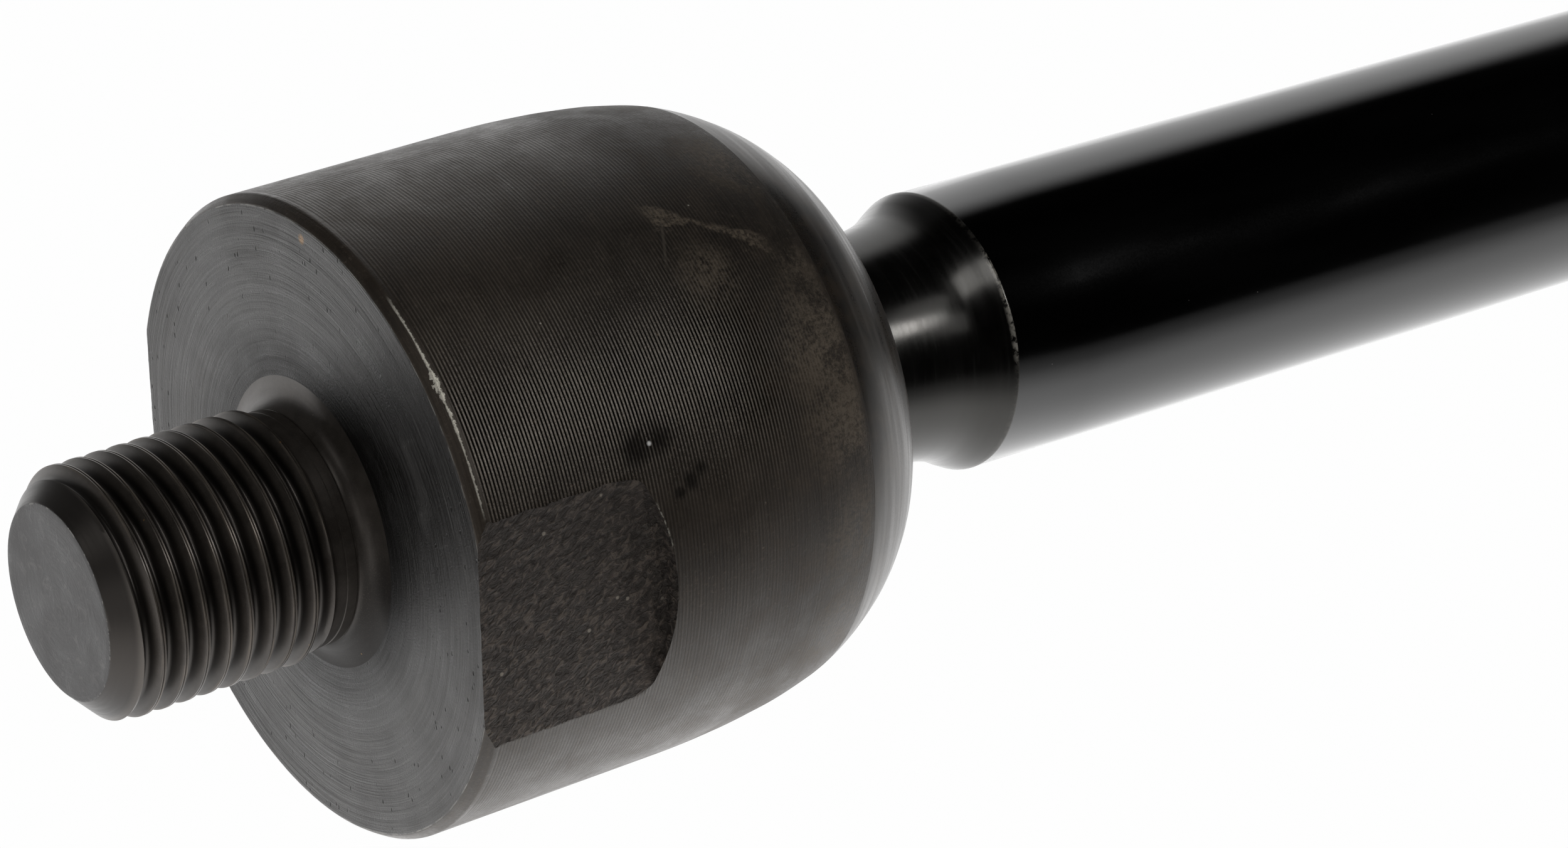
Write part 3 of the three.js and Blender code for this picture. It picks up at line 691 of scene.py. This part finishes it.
def mat_washer(name):
    m = Mat(name)
    turn = m.ring_noise(m.r, 4.0, 1.2, 3, 0.6)
    mid = m.noise(scale=0.3, detail=4, rough=0.6)
    base = m.mix(m.map(mid, 0.35, 0.65), (0.36, 0.36, 0.37), (0.50, 0.49, 0.48))
    base = m.mix(m.math("MULTIPLY", m.map(turn, 0.55, 0.75), 0.5), base, (0.22, 0.21, 0.20))
    return m.set(color=base, rough=m.lerp(turn, 0.24, 0.44), metal=0.95, normal=m.bump(turn, 0.25, 0.00002))


BARREL, LIP, FACE, THREAD, STUD_END, FORGED, INSIDE = (
    mat_barrel(), mat_lip(), mat_face(), mat_thread("oiled_black_thread", False, 8.0, 14.85),
    mat_end_face("stud_end_face"), mat_forged(), mat_inside())
PAINT, NECK, ROD_THREAD, ROD_END_MAT = mat_paint(), mat_neck(), mat_thread("outer_thread_black", True, 9.0, 303.0), mat_end_face("rod_end_face", True)
ZINC, BALL_MAT, SEAT_MAT, SPRING_MAT = mat_zinc(), mat_ball(), mat_seat(), mat_spring()
WASHER_MAT, RING_MAT = mat_washer("ground_washer_steel"), mat_washer("closing_ring_steel")

# ------------------------------------------------------------------ the rolled thread, one pitch
# offsets along the pitch and depth under the crest; the shallow dip in the crest is the seam that rolling leaves
THREAD_ROWS = [(0.00, 0.050), (0.035, 0.0), (0.105, 0.0), (0.130, 0.022), (0.155, 0.070), (0.180, 0.022), (0.205, 0.0), (0.275, 0.0),
               (0.310, 0.050), (0.43, 0.29), (0.56, 0.53), (0.68, 0.755), (0.76, 0.86), (0.84, 0.905), (0.90, 0.915), (0.97, 0.905),
               (1.05, 0.86), (1.13, 0.755), (1.25, 0.53), (1.38, 0.29)]
ROD_THREAD_ROWS = [(0.00, 0.045), (0.04, 0.0), (0.26, 0.0), (0.30, 0.045), (0.50, 0.42), (0.70, 0.80), (0.84, 0.91), (0.98, 0.91), (1.10, 0.80), (1.30, 0.42)]


def thread_depth(rows, pitch, u):
    u = u % pitch
    pts = rows + [(pitch, rows[0][1])]
    for (a, da), (b, db) in zip(pts, pts[1:]):
        if a <= u <= b:
            return lerp(da, db, (u - a) / (b - a))
    return 0.0


# ------------------------------------------------------------------ socket housing
def make_housing():
    s = Skin(NCOL)
    STUD_R, END_R, CH = 8.0, 6.2, 1.7
    # stud end face, with its edge just broken
    ring = s.ring(0.0, 0.8)
    s.cap(ring, 0.0, 4)
    for r in (2.0, 3.4, 4.8, 5.7, END_R - 0.06):
        nxt = s.ring(0.0, r)
        s.join(ring, nxt, 4)
        ring = nxt
    nxt = s.ring(0.02, END_R)
    s.join(ring, nxt, 4)
    start = nxt

    def radius(x, u, a):
        d = thread_depth(THREAD_ROWS, PITCH, u)
        out = smooth((x - 14.35) / 0.55)
        r = STUD_R - d
        r = lerp(r, 7.52, out)
        chamfer = END_R + (x - 0.02) * (STUD_R - END_R) / CH
        return min(r, chamfer)

    end = s.thread(start, 0.02, 15.0, 7.52, [b for b, _ in THREAD_ROWS], PITCH, lambda x, u, a: radius(x, u, a), 3, phase=THREAD_PHASE)
    ring = end
    # plain shank, two fine tool lines, fillet into the shoulder
    for x, r in ((15.3, 7.52), (15.50, 7.52), (15.54, 7.46), (15.62, 7.46), (15.66, 7.52), (15.95, 7.52), (16.20, 7.51), (16.30, 7.50), (16.33, 7.41), (16.38, 7.41),
                 (16.41, 7.48), (16.47, 7.48), (16.50, 7.41), (16.62, 7.46), (16.79, 7.57), (16.94, 7.70), (17.08, 7.86), (17.20, 8.05), (17.31, 8.28), (17.40, 8.53), (17.47, 8.80),
                 (17.52, 9.08), (17.545, 9.35)):
        nxt = s.ring(x, r)
        s.join(ring, nxt, 3)
        ring = nxt
    # shoulder face, with the shallow steps of facing cuts
    r = 9.7
    i = 0
    while r < 19.9:
        step = 0.012 * (rnd(i, 3) - 0.5)
        if 18.4 < r < 18.8:
            step += 0.03
        nxt = s.ring(17.55 + max(step, -0.0) if step > 0 else 17.55 - min(-step, 0.0), r)
        s.join(ring, nxt, 2)
        ring = nxt
        r += 0.42 if i % 2 else 0.36
        i += 1
    for x, r in ((17.55, 20.04), (17.57, 20.15), (17.64, 20.24)):
        nxt = s.ring(x, r)
        s.join(ring, nxt, 2 if x < 17.6 else 0)
        ring = nxt
    for x, r in ((17.9, 20.43), (18.14, 20.58), (18.22, 20.63), (18.30, HOUSING_R)):
        nxt = s.ring(x, r)
        s.join(ring, nxt, 0)
        ring = nxt
    # turned barrel: one groove for each turn of feed
    feed = FEED
    x = 18.523
    k = 0
    while x < 36.0:
        depth = 0.0205 * (0.90 + 0.2 * rnd(k, 1)) * (1.0 if x < 30 else lerp(1.0, 0.45, (x - 30) / 6))
        for q, dd in ((0.0, 0.0), (0.33, 0.9), (0.67, 0.9)):
            xx = x + feed * q
            base = HOUSING_R if xx < 35.0 else spline(SHOULDER_CURVE, xx)
            nxt = s.ring(xx, base - depth * dd)
            s.join(ring, nxt, 0)
            ring = nxt
        x += feed
        k += 1
    while x < 51.6:
        base = spline(SHOULDER_CURVE, x)
        d = 0.006 * rnd(k, 2) * (1 - smooth((x - 40) / 6))
        nxt = s.ring(x, base - d)
        s.join(ring, nxt, 0 if x < 46.6 else 1)
        ring = nxt
        x += 0.36 if x < 46 else 0.24
        k += 1
    for x, r in ((51.8, 16.15), (52.1, 15.84), (52.38, 15.50), (52.62, 15.14), (52.80, 14.80), (52.92, 14.48), (52.98, 14.2), (53.0, 13.95), (52.97, 13.72),
                 (52.88, 13.52), (52.70, 13.34), (52.45, 13.24), (52.2, 13.2), (51.9, 13.27), (51.6, 13.4), (51.1, 13.74), (50.6, 14.1), (50.05, 14.48),
                 (49.5, 14.85), (48.85, 15.22), (48.2, 15.55), (47.3, 15.95), (46.4, 16.3), (45.6, 16.62), (44.8, 16.9), (44.0, 17.12), (43.2, 17.3), (42.0, 17.4)):
        nxt = s.ring(x, r)
        s.join(ring, nxt, 1 if (r > 13.6 and x > 51.7) else (1 if x > 51.5 else 6))
        ring = nxt
    for x, r in ((38.0, 17.4), (33.0, 17.4), (28.0, 17.4), (23.6, 17.4), (22.8, 17.4), (22.5, 17.3), (22.28, 17.1), (22.2, 16.8), (22.2, 13.0), (22.2, 8.0), (22.2, 3.0)):
        nxt = s.ring(x, r)
        s.join(ring, nxt, 6)
        ring = nxt
    s.cap(ring, 22.2, 6, flip=True)
    o = s.build("housing_body", [BARREL, LIP, FACE, THREAD, STUD_END, FORGED, INSIDE])
    for side in (-1, 1):
        boolean(o, flat_cutter(side))
    return o


THREAD_PHASE = 0.22
SHOULDER_CURVE = [(33.0, 20.65), (35.0, 20.65), (36.8, 20.62), (38.4, 20.54), (40.0, 20.43), (41.6, 20.26), (43.2, 20.06), (44.8, 19.75), (46.4, 19.36), (48.0, 18.72),
                  (49.6, 17.85), (50.6, 17.18), (51.5, 16.42), (52.2, 15.7)]


def flat_cutter(side):
    """A block whose inner wall is the rough wrench flat. Its far end is rounded by the cutter and runs up to the barrel on a fillet."""
    CUT_R, END_X = 17.5, 30.76
    cx = END_X - CUT_R
    nx, nz = 96, 84
    z1 = 9.0
    verts, faces, mats = [], [], []

    def lift(x, z):
        """Height of the wall above the flat: the far end climbs on a small fillet."""
        d = CUT_R - math.hypot(x - cx, z) if x > cx else 99.0
        return d

    for j in range(nz + 1):
        z = lerp(-z1, z1, j / nz)
        xe = cx + math.sqrt(CUT_R**2 - z * z)
        for i in range(nx + 1):
            t = i / nx
            x = lerp(15.0, xe, t)
            n1 = noise.noise(Vector((x * 0.55, z * 1.5 + x * 0.35, side * 7.0)))
            n2 = noise.noise(Vector((x * 1.5 + 9, z * 3.0 + x * 0.8, side * 3.0)))
            n3 = noise.noise(Vector((x * 4.5, z * 5.5, side * 5.0)))
            h = 0.030 * n1 + 0.045 * n2 + 0.020 * n3
            d = xe - x
            if d < 2.2:
                h = h * (0.30 + 0.70 * d / 2.2) + 0.26 * (1 - math.sqrt(max(0.0, 1 - (1 - d / 2.2) ** 2)))
            verts.append((x, side * (FLAT_HALF - 0.11 + 0.0175 * z * side + h), z))
    w = nx + 1
    for j in range(nz):
        for i in range(nx):
            faces.append((j * w + i, j * w + i + 1, (j + 1) * w + i + 1, (j + 1) * w + i))
            mats.append(5)
    # outer wall and sides, far outside the barrel
    off = len(verts)
    for j in range(nz + 1):
        z = lerp(-z1, z1, j / nz)
        xe = cx + math.sqrt(CUT_R**2 - z * z)
        for x in (15.0, xe):
            verts.append((x, side * 26.0, z))
    for j in range(nz):
        faces.append((off + 2 * j, off + 2 * j + 2, off + 2 * j + 3, off + 2 * j + 1))
        mats.append(5)
        faces.append((j * w, (j + 1) * w, off + 2 * j + 2, off + 2 * j))
        mats.append(5)
        faces.append((j * w + nx, off + 2 * j + 1, off + 2 * j + 3, (j + 1) * w + nx))
        mats.append(5)
    faces.append([i for i in range(nx, -1, -1)] + [off, off + 1])
    mats.append(5)
    faces.append([nz * w + i for i in range(0, nx + 1)] + [off + 2 * nz + 1, off + 2 * nz])
    mats.append(5)
    o = plain_mesh("flat_cutter", verts, faces, [BARREL, LIP, FACE, THREAD, STUD_END, FORGED, INSIDE], mats)
    import bmesh
    bm = bmesh.new()
    bm.from_mesh(o.data)
    bmesh.ops.triangulate(bm, faces=bm.faces)
    bmesh.ops.recalc_face_normals(bm, faces=bm.faces)
    if bm.calc_volume(signed=True) < 0:
        bmesh.ops.reverse_faces(bm, faces=bm.faces)
    bm.to_mesh(o.data)
    bm.free()
    return o


# ------------------------------------------------------------------ small internal rings
def make_ring(name, profile, mats, cols=120, index=None, matrix=None, wobble=None, sharp=28.0):
    s = Skin(cols)
    first = ring = None
    for n, (x, r) in enumerate(profile):
        nxt = s.ring(x, (lambda a, r=r, x=x: r + wobble(x, r, a)) if wobble else r)
        if ring is not None:
            s.join(ring, nxt, (index[n - 1] if index else 0))
        else:
            first = nxt
        ring = nxt
    s.join(ring, first, (index[-1] if index else 0))
    return s.build(name, mats, matrix=matrix, sharp=sharp)


def arc_points(cx, r, a0, a1, n):
    return [(cx + r * math.cos(lerp(a0, a1, i / n)), r * math.sin(lerp(a0, a1, i / n))) for i in range(n + 1)]


def make_inner():
    out = {}
    out["disc_spring"] = make_ring("spring_disc", [
        (22.53, 16.5), (22.50, 16.3), (22.98, 11.5), (23.40, 6.45), (23.50, 6.25), (23.8, 6.2), (24.2, 6.2), (24.37, 6.28), (24.40, 6.45), (23.98, 11.3),
        (23.5, 16.15), (23.46, 16.45), (23.3, 16.6), (22.8, 16.6)], [SPRING_MAT])
    out["thrust_washer"] = make_ring("washer_disc", [
        (24.7, 5.15), (24.7, 9.0), (24.7, 13.0), (24.7, 16.5), (24.78, 16.66), (24.9, 16.7), (25.3, 16.7), (25.42, 16.66), (25.5, 16.5), (25.5, 13.0), (25.5, 9.0),
        (25.5, 5.15), (25.42, 5.03), (25.3, 5.0), (24.9, 5.0), (24.78, 5.03)], [WASHER_MAT])

    def grooves(x, r, a):
        d = math.hypot(x - BALL_X, r)
        if d > 14.6 or r < 3.6 or x < 25.9:
            return 0.0
        g = abs(((a / TAU * 6) % 1.0) - 0.5) * 2
        return 0.45 * smooth((g - 0.84) / 0.10) * smooth((r - 3.6) / 2.0)

    a0 = math.acos((41.2 - BALL_X) / 14.3)
    a1 = math.pi - math.asin(3.05 / 14.3)
    out["front_ball_seat"] = make_ring("front_seat_cup", [
        (25.8, 3.2), (25.8, 6.0), (25.8, 10.0), (25.8, 14.0), (25.8, 16.2), (25.95, 16.7), (26.2, 17.0), (26.6, 17.1), (30.0, 17.1), (31.0, 17.1), (31.15, 16.9), (31.8, 16.9),
        (31.95, 17.1), (36.0, 17.1), (40.8, 17.1), (41.1, 17.05), (41.2, 16.9), (41.2, 14.6)] + arc_points(BALL_X, 14.3, a0, a1, 30), [SEAT_MAT], cols=144, wobble=grooves)

    b0 = math.acos((41.6 - BALL_X) / 14.3)
    b1 = math.acos(6.0 / 14.3)

    def grooves2(x, r, a):
        d = math.hypot(x - BALL_X, r)
        if d > 14.6:
            return 0.0
        g = abs(((a / TAU * 6) % 1.0) - 0.5) * 2
        return 0.45 * smooth((g - 0.84) / 0.10)

    out["rear_ball_seat"] = make_ring("rear_seat_ring", [
        (41.6, 14.5), (41.6, 16.95), (41.75, 17.1), (42.4, 17.1), (43.1, 17.0), (44.0, 16.78), (44.7, 16.58), (45.5, 16.28), (46.2, 15.98), (47.0, 15.66), (47.5, 15.4), (47.6, 15.2), (47.6, 14.0), (47.6, 13.15)]
        + arc_points(BALL_X, 14.3, b1, b0, 16), [SEAT_MAT], cols=144, wobble=grooves2)

    out["closing_ring"] = make_ring("mouth_ring", [
        (47.9, 13.1), (47.9, 14.2), (47.9, 15.1), (48.05, 15.22), (48.6, 14.92), (49.3, 14.54), (49.9, 14.16), (50.4, 13.82), (50.85, 13.48), (50.98, 13.3), (51.0, 13.1), (50.9, 12.98),
        (50.7, 12.95), (49.5, 12.95), (48.2, 12.95), (47.98, 13.0)], [RING_MAT], cols=120)
    return out


# ------------------------------------------------------------------ ball, rod and nut
def make_ball():
    s = Skin(120)
    R = 14.0
    a_pole = math.pi - math.asin(3.2 / R)
    x_pole = R * math.cos(a_pole)
    flat_x = math.sqrt(R * R - 7.4 * 7.4) - 0.3
    a_flat = math.acos(flat_x / R)
    ring = s.ring(x_pole + 0.35, 0.8)
    s.cap(ring, x_pole + 0.6, 0)
    for x, r in ((x_pole + 0.12, 1.9), (x_pole, 2.8)):
        nxt = s.ring(x, r)
        s.join(ring, nxt, 0)
        ring = nxt
    n = 64
    for i in range(n + 1):
        a = lerp(a_pole, a_flat, i / n)
        nxt = s.ring(R * math.cos(a), R * math.sin(a))
        s.join(ring, nxt, 0)
        ring = nxt
    for r in (6.0, 3.0):
        nxt = s.ring(flat_x, r)
        s.join(ring, nxt, 0)
        ring = nxt
    s.cap(ring, flat_x, 0, flip=True)
    return s.build("ball_head", [BALL_MAT], matrix=ROD_MATRIX)


NECK_CURVE = [(11.9, 7.40), (13.6, 7.40), (15.5, 7.48), (17.2, 7.60), (19.0, 7.80), (20.4, 8.0), (21.2, 8.16), (22.0, 8.39), (22.8, 8.75), (23.5, 9.14), (24.1, 9.45)]


def make_rod():
    s = Skin(96)
    x0 = math.sqrt(14.0**2 - 7.4**2)
    ring = s.ring(x0, 3.5)
    s.cap(ring, x0, 1)
    nxt = s.ring(x0, 7.4)
    s.join(ring, nxt, 1)
    ring = nxt
    x = x0
    while x < 24.05:
        x = min(x + (0.5 if x < 19 else 0.25), 24.1)
        nxt = s.ring(x, spline(NECK_CURVE, x))
        s.join(ring, nxt, 1)
        ring = nxt
    for x, r, mt in ((24.16, 9.462, 1), (24.24, 9.462, 1), (24.30, 9.45, 0)):
        nxt = s.ring(x, r)
        s.join(ring, nxt, mt)
        ring = nxt
    x = 24.3
    while x < 229.0:
        x = min(x + 6.0, 229.2)
        nxt = s.ring(x, 9.45)
        s.join(ring, nxt, 0)
        ring = nxt
    for x, r in ((229.7, 9.43), (230.0, 9.38), (230.25, 9.25), (230.9, 8.7), (231.4, 8.28), (231.8, 8.14), (232.4, 8.10), (233.0, 8.1)):
        nxt = s.ring(x, r)
        s.join(ring, nxt, 0 if x < 231.5 else 2)
        ring = nxt

    def radius(xx, u, a):
        r = 9.0 - thread_depth(ROD_THREAD_ROWS, PITCH, u)
        lead = 8.1 + max(0.0, xx - 233.1) * 0.9
        tail = 7.4 + max(0.0, 303.42 - xx) * 1.0
        return min(r, lead, tail)

    ring = s.thread(ring, 233.0, 303.42, 7.4, [b for b, _ in ROD_THREAD_ROWS], PITCH, radius, 2)
    for x, r in ((303.5, 7.3), (303.5, 5.0), (303.5, 2.0)):
        nxt = s.ring(x, r)
        s.join(ring, nxt, 3)
        ring = nxt
    s.cap(ring, 303.5, 3, flip=True)
    o = s.build("rod_body", [PAINT, NECK, ROD_THREAD, ROD_END_MAT])
    for side in (-1, 1):
        boolean(o, rounded_block("rod_flat_cutter", (206.0, 222.0), (side * 8.0, side * 14.0), (-14.0, 14.0), 0.5, PAINT))
    o.data.transform(ROD_MATRIX)
    o.data.update()
    return o


def rounded_block(name, xs, ys, zs, bevel, mat):
    import bmesh
    bm = bmesh.new()
    bmesh.ops.create_cube(bm, size=1.0)
    y0, y1 = sorted(ys)
    for v in bm.verts:
        v.co = Vector((lerp(*xs, v.co.x + 0.5), lerp(y0, y1, v.co.y + 0.5), lerp(*zs, v.co.z + 0.5))) * MM
    edges = [e for e in bm.edges if abs((e.verts[0].co - e.verts[1].co).normalized().z) > 0.9]
    bmesh.ops.bevel(bm, geom=edges, offset=bevel * MM, segments=4, profile=0.5, affect="EDGES")
    me = bpy.data.meshes.new(name)
    bm.to_mesh(me)
    bm.free()
    for m in (PAINT, NECK, ROD_THREAD, ROD_END_MAT):
        me.materials.append(m)
    o = bpy.data.objects.new(name, me)
    bpy.context.scene.collection.objects.link(o)
    return o


def make_nut():
    """A hexagon prism with both faces chamfered to a washer face, and a threaded bore."""
    n0, n1 = NUT_FAR - NUT_H, NUT_FAR
    s = Skin(144)
    AP = NUT_AF / 2

    def hexr(a):
        # flats towards +Z and -Z
        b = (a - math.pi / 2) % (math.pi / 3)
        b = b - math.pi / 3 if b > math.pi / 6 else b
        return AP / math.cos(b)

    def cut(x):
        """Radius of the chamfer cones at x."""
        d = min(x - n0, n1 - x)
        return 12.9 + d / math.tan(math.radians(30)) * 1.0

    def outer(x):
        return lambda a: min(hexr(a) - 0.12 * smooth((hexr(a) - AP * 1.13) / (AP * 0.025)), cut(x))

    xs = [n0, n0 + 0.08, n0 + 0.2, n0 + 0.35, n0 + 0.5, n0 + 0.7, n0 + 0.9, n0 + 1.1, n0 + 1.35, n0 + 1.6, n0 + 2.4, n0 + 4.5]
    xs = xs + [n0 + n1 - x for x in reversed(xs[:-1])]
    bore0 = [(n0 + 0.75, 9.1), (n0 + 0.12, 9.75), (n0 + 0.0, 9.95), (n0, 11.5), (n0, 12.6)]
    first = None
    ring = None
    for x, r in bore0:
        nxt = s.ring(x, r)
        if ring is not None:
            s.join(ring, nxt, 0)
        else:
            first = nxt
        ring = nxt
    for x in xs:
        nxt = s.ring(x, outer(x))
        s.join(ring, nxt, 0)
        ring = nxt
    for x, r in ((n1, 12.6), (n1, 11.5), (n1, 9.95), (n1 - 0.12, 9.75), (n1 - 0.75, 9.1)):
        nxt = s.ring(x, r)
        s.join(ring, nxt, 0)
        ring = nxt
    # threaded bore, from the outer end back to the inner end
    last = ring
    rows = [(0.0, 0.0), (0.2, 0.0), (0.55, 0.42), (0.85, 0.6), (1.15, 0.42)]

    def radius(xx, u, a):
        d = thread_depth(rows, PITCH, u)
        m = min(1.0, (xx - n0 - 0.75) / 0.4, (n1 - 0.75 - xx) / 0.4)
        return 9.1 + d * max(0.0, m)

    x0, x1 = n0 + 0.75, n1 - 0.75
    end = s.thread(first, x0, x1, 9.1, [b for b, _ in rows], PITCH, radius, 0)
    s.join(end, last, 0)
    o = s.build("nut_body", [ZINC], sharp=24.0)
    o.data.transform(ROD_MATRIX)
    o.data.update()
    return o


# ------------------------------------------------------------------ build everything
housing = make_housing()
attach(housing, "housing")
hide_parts("socket_housing")

inner = make_inner()
for node, body, slot in (("disc_spring", "housing", "spring_steel"), ("thrust_washer", "housing", "washer_steel"), ("closing_ring", "housing", "washer_steel"),
                         ("front_ball_seat", "seats", "seat_polymer"), ("rear_ball_seat", "seats", "seat_polymer")):
    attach(inner[node], body)
    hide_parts(node)

ball = make_ball()
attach(ball, "ball")
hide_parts("ball")

rod = make_rod()
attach(rod, "rod")
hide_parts("tie_rod_shaft")

nut = make_nut()
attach(nut, "jam_nut")
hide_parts("jam_nut")

# ------------------------------------------------------------------ stage: pale floor, soft light
scene = bpy.context.scene


def make_floor():
    """A pale sheet that glows from its own emission, brightest behind the part and dark in front of it, so what the
    part reflects of it fades towards the front; the camera does not see it.
    """
    me = bpy.data.meshes.new("pale_floor")
    half = 6.0
    me.from_pydata([(-half, -half, FLOOR_Z), (half, -half, FLOOR_Z), (half, half, FLOOR_Z), (-half, half, FLOOR_Z)], [], [(0, 1, 2, 3)])
    o = bpy.data.objects.new("pale_floor", me)
    scene.collection.objects.link(o)
    m = bpy.data.materials.new("pale_floor")
    m.use_nodes = True
    t = m.node_tree
    t.nodes.clear()
    out = t.nodes.new("ShaderNodeOutputMaterial")
    diffuse = t.nodes.new("ShaderNodeBsdfDiffuse")
    diffuse.inputs[0].default_value = (0.80, 0.80, 0.80, 1)
    glow = t.nodes.new("ShaderNodeEmission")
    glow.inputs[0].default_value = (1, 1, 1, 1)
    glow.inputs[1].default_value = 0.87
    seen = t.nodes.new("ShaderNodeAddShader")
    t.links.new(diffuse.outputs[0], seen.inputs[0])
    t.links.new(glow.outputs[0], seen.inputs[1])
    tc = t.nodes.new("ShaderNodeTexCoord")
    sep = t.nodes.new("ShaderNodeSeparateXYZ")
    t.links.new(tc.outputs["Object"], sep.inputs[0])
    fade = t.nodes.new("ShaderNodeMapRange")
    t.links.new(sep.outputs[1], fade.inputs[0])
    for i, v in ((1, -0.080), (2, 0.040), (3, 0.0), (4, 1.0)):
        fade.inputs[i].default_value = v
    ramp = t.nodes.new("ShaderNodeValToRGB")
    t.links.new(fade.outputs[0], ramp.inputs[0])
    steps = ((-0.080, 0.0), (-0.045, 0.38), (-0.025, 1.22), (-0.010, 1.33), (0.008, 1.18), (0.040, 1.16))
    for y, level in steps:
        position = (y + 0.080) / 0.120
        if position in (0.0, 1.0):
            e = ramp.color_ramp.elements[0 if position == 0.0 else -1]
        else:
            e = ramp.color_ramp.elements.new(position)
        e.color = (level / 1.4, level / 1.4, level / 1.4, 1)
    gain = t.nodes.new("ShaderNodeMath")
    gain.operation = "MULTIPLY"
    t.links.new(ramp.outputs[0], gain.inputs[0])
    gain.inputs[1].default_value = 1.70
    felt = t.nodes.new("ShaderNodeEmission")
    t.links.new(gain.outputs[0], felt.inputs[1])
    rays = t.nodes.new("ShaderNodeLightPath")
    mix = t.nodes.new("ShaderNodeMixShader")
    t.links.new(rays.outputs["Is Camera Ray"], mix.inputs[0])
    t.links.new(felt.outputs[0], mix.inputs[1])
    t.links.new(seen.outputs[0], mix.inputs[2])
    t.links.new(mix.outputs[0], out.inputs[0])
    me.materials.append(m)
    o.visible_camera = False
    return o


def make_seen_floor(z=-0.160):
    """The plain pale floor in view. It lies lower, so that the rod swings down in front of it, not through it."""
    me = bpy.data.meshes.new("seen_floor")
    half = 6.0
    me.from_pydata([(-half, -half, z), (half, -half, z), (half, half, z), (-half, half, z)], [], [(0, 1, 2, 3)])
    o = bpy.data.objects.new("seen_floor", me)
    scene.collection.objects.link(o)
    m = bpy.data.materials.new("seen_floor")
    m.use_nodes = True
    t = m.node_tree
    t.nodes.clear()
    out = t.nodes.new("ShaderNodeOutputMaterial")
    glow = t.nodes.new("ShaderNodeEmission")
    glow.inputs[0].default_value = (1, 1, 1, 1)
    glow.inputs[1].default_value = 0.99
    t.links.new(glow.outputs[0], out.inputs[0])
    me.materials.append(m)
    o.visible_diffuse = False
    o.visible_glossy = False
    o.visible_transmission = False
    o.visible_shadow = False
    return o


floor = make_floor()
seen_floor = make_seen_floor()


def make_world():
    w = bpy.data.worlds.new("studio")
    scene.world = w
    w.use_nodes = True
    t = w.node_tree
    t.nodes.clear()
    out = t.nodes.new("ShaderNodeOutputWorld")
    tc = t.nodes.new("ShaderNodeTexCoord")
    sep = t.nodes.new("ShaderNodeSeparateXYZ")
    t.links.new(tc.outputs["Generated"], sep.inputs[0])

    def math_(op, a, b=None, clamp=False):
        n = t.nodes.new("ShaderNodeMath")
        n.operation = op
        n.use_clamp = clamp
        for s_, v in zip(n.inputs, (a, b)):
            if v is None:
                continue
            if hasattr(v, "links"):
                t.links.new(v, s_)
            else:
                s_.default_value = v
        return n.outputs[0]

    # bright wall and overhead at the back, dark room in front of the part
    back = t.nodes.new("ShaderNodeMapRange")
    back.interpolation_type = "SMOOTHSTEP"
    t.links.new(sep.outputs[1], back.inputs[0])
    back.inputs[1].default_value = 0.40
    back.inputs[2].default_value = 0.64
    back.inputs[3].default_value = 0.002
    back.inputs[4].default_value = 1.10
    # the wall stands behind and to the right
    right = t.nodes.new("ShaderNodeMapRange")
    right.interpolation_type = "SMOOTHSTEP"
    t.links.new(sep.outputs[0], right.inputs[0])
    for i, v in ((1, 0.00), (2, 0.47), (3, 0.07), (4, 1.0)):
        right.inputs[i].default_value = v
    level = math_("MULTIPLY", back.outputs[0], right.outputs[0])
    rays = t.nodes.new("ShaderNodeLightPath")
    seen = t.nodes.new("ShaderNodeBackground")
    seen.inputs[0].default_value = (0.93, 0.93, 0.93, 1)
    lit = t.nodes.new("ShaderNodeBackground")
    lit.inputs[0].default_value = (1, 1, 1, 1)
    t.links.new(level, lit.inputs[1])
    mix = t.nodes.new("ShaderNodeMixShader")
    t.links.new(rays.outputs["Is Camera Ray"], mix.inputs[0])
    t.links.new(lit.outputs[0], mix.inputs[1])
    t.links.new(seen.outputs[0], mix.inputs[2])
    t.links.new(mix.outputs[0], out.inputs[0])


make_world()


def area(name, direction, distance, size, power, target=(0.055, 0, 0)):
    d = Vector(direction).normalized()
    L = bpy.data.lights.new(name, "AREA")
    L.shape = "RECTANGLE"
    L.size, L.size_y = size
    L.energy = power
    o = bpy.data.objects.new(name, L)
    scene.collection.objects.link(o)
    o.location = Vector(target) + d * distance
    o.rotation_euler = d.to_track_quat("Z", "Y").to_euler()
    o.visible_camera = False
    return o


area("front_box", (0.44, -0.70, 0.56), 0.9, (0.15, 0.15), 1.15)
area("upper_front", (0.35, -0.58, 0.735), 0.9, (0.20, 0.20), 0.15)
area("front_wide", (0.22, -0.84, 0.50), 0.9, (0.24, 0.24), 0.17)
area("overhead_box", (-0.15, -0.48, 0.865), 0.9, (0.42, 0.30), 1.45)
area("left_box", (-0.85, 0.10, 0.50), 0.9, (0.30, 0.30), 0.295)
area("low_left_fill", (-0.88, -0.44, 0.14), 0.9, (0.30, 0.30), 0.30)

# ------------------------------------------------------------------ camera at the photograph's viewing angle
cam = bpy.data.cameras.new("view")
cam.sensor_fit = "HORIZONTAL"
cam.sensor_width = 36.0
cam.lens = 119.75
cam.clip_start = 0.01
cam.clip_end = 50.0
camera = bpy.data.objects.new("view", cam)
scene.collection.objects.link(camera)
camera.location = (-0.126387, -0.246186, 0.149329)
camera.rotation_euler = (math.pi / 2 - 0.465771, 0.0, -0.631492)
scene.camera = camera

scene.view_settings.view_transform = "Standard"
scene.view_settings.look = "None"
scene.view_settings.exposure = 0.0
scene.view_settings.gamma = 1.0
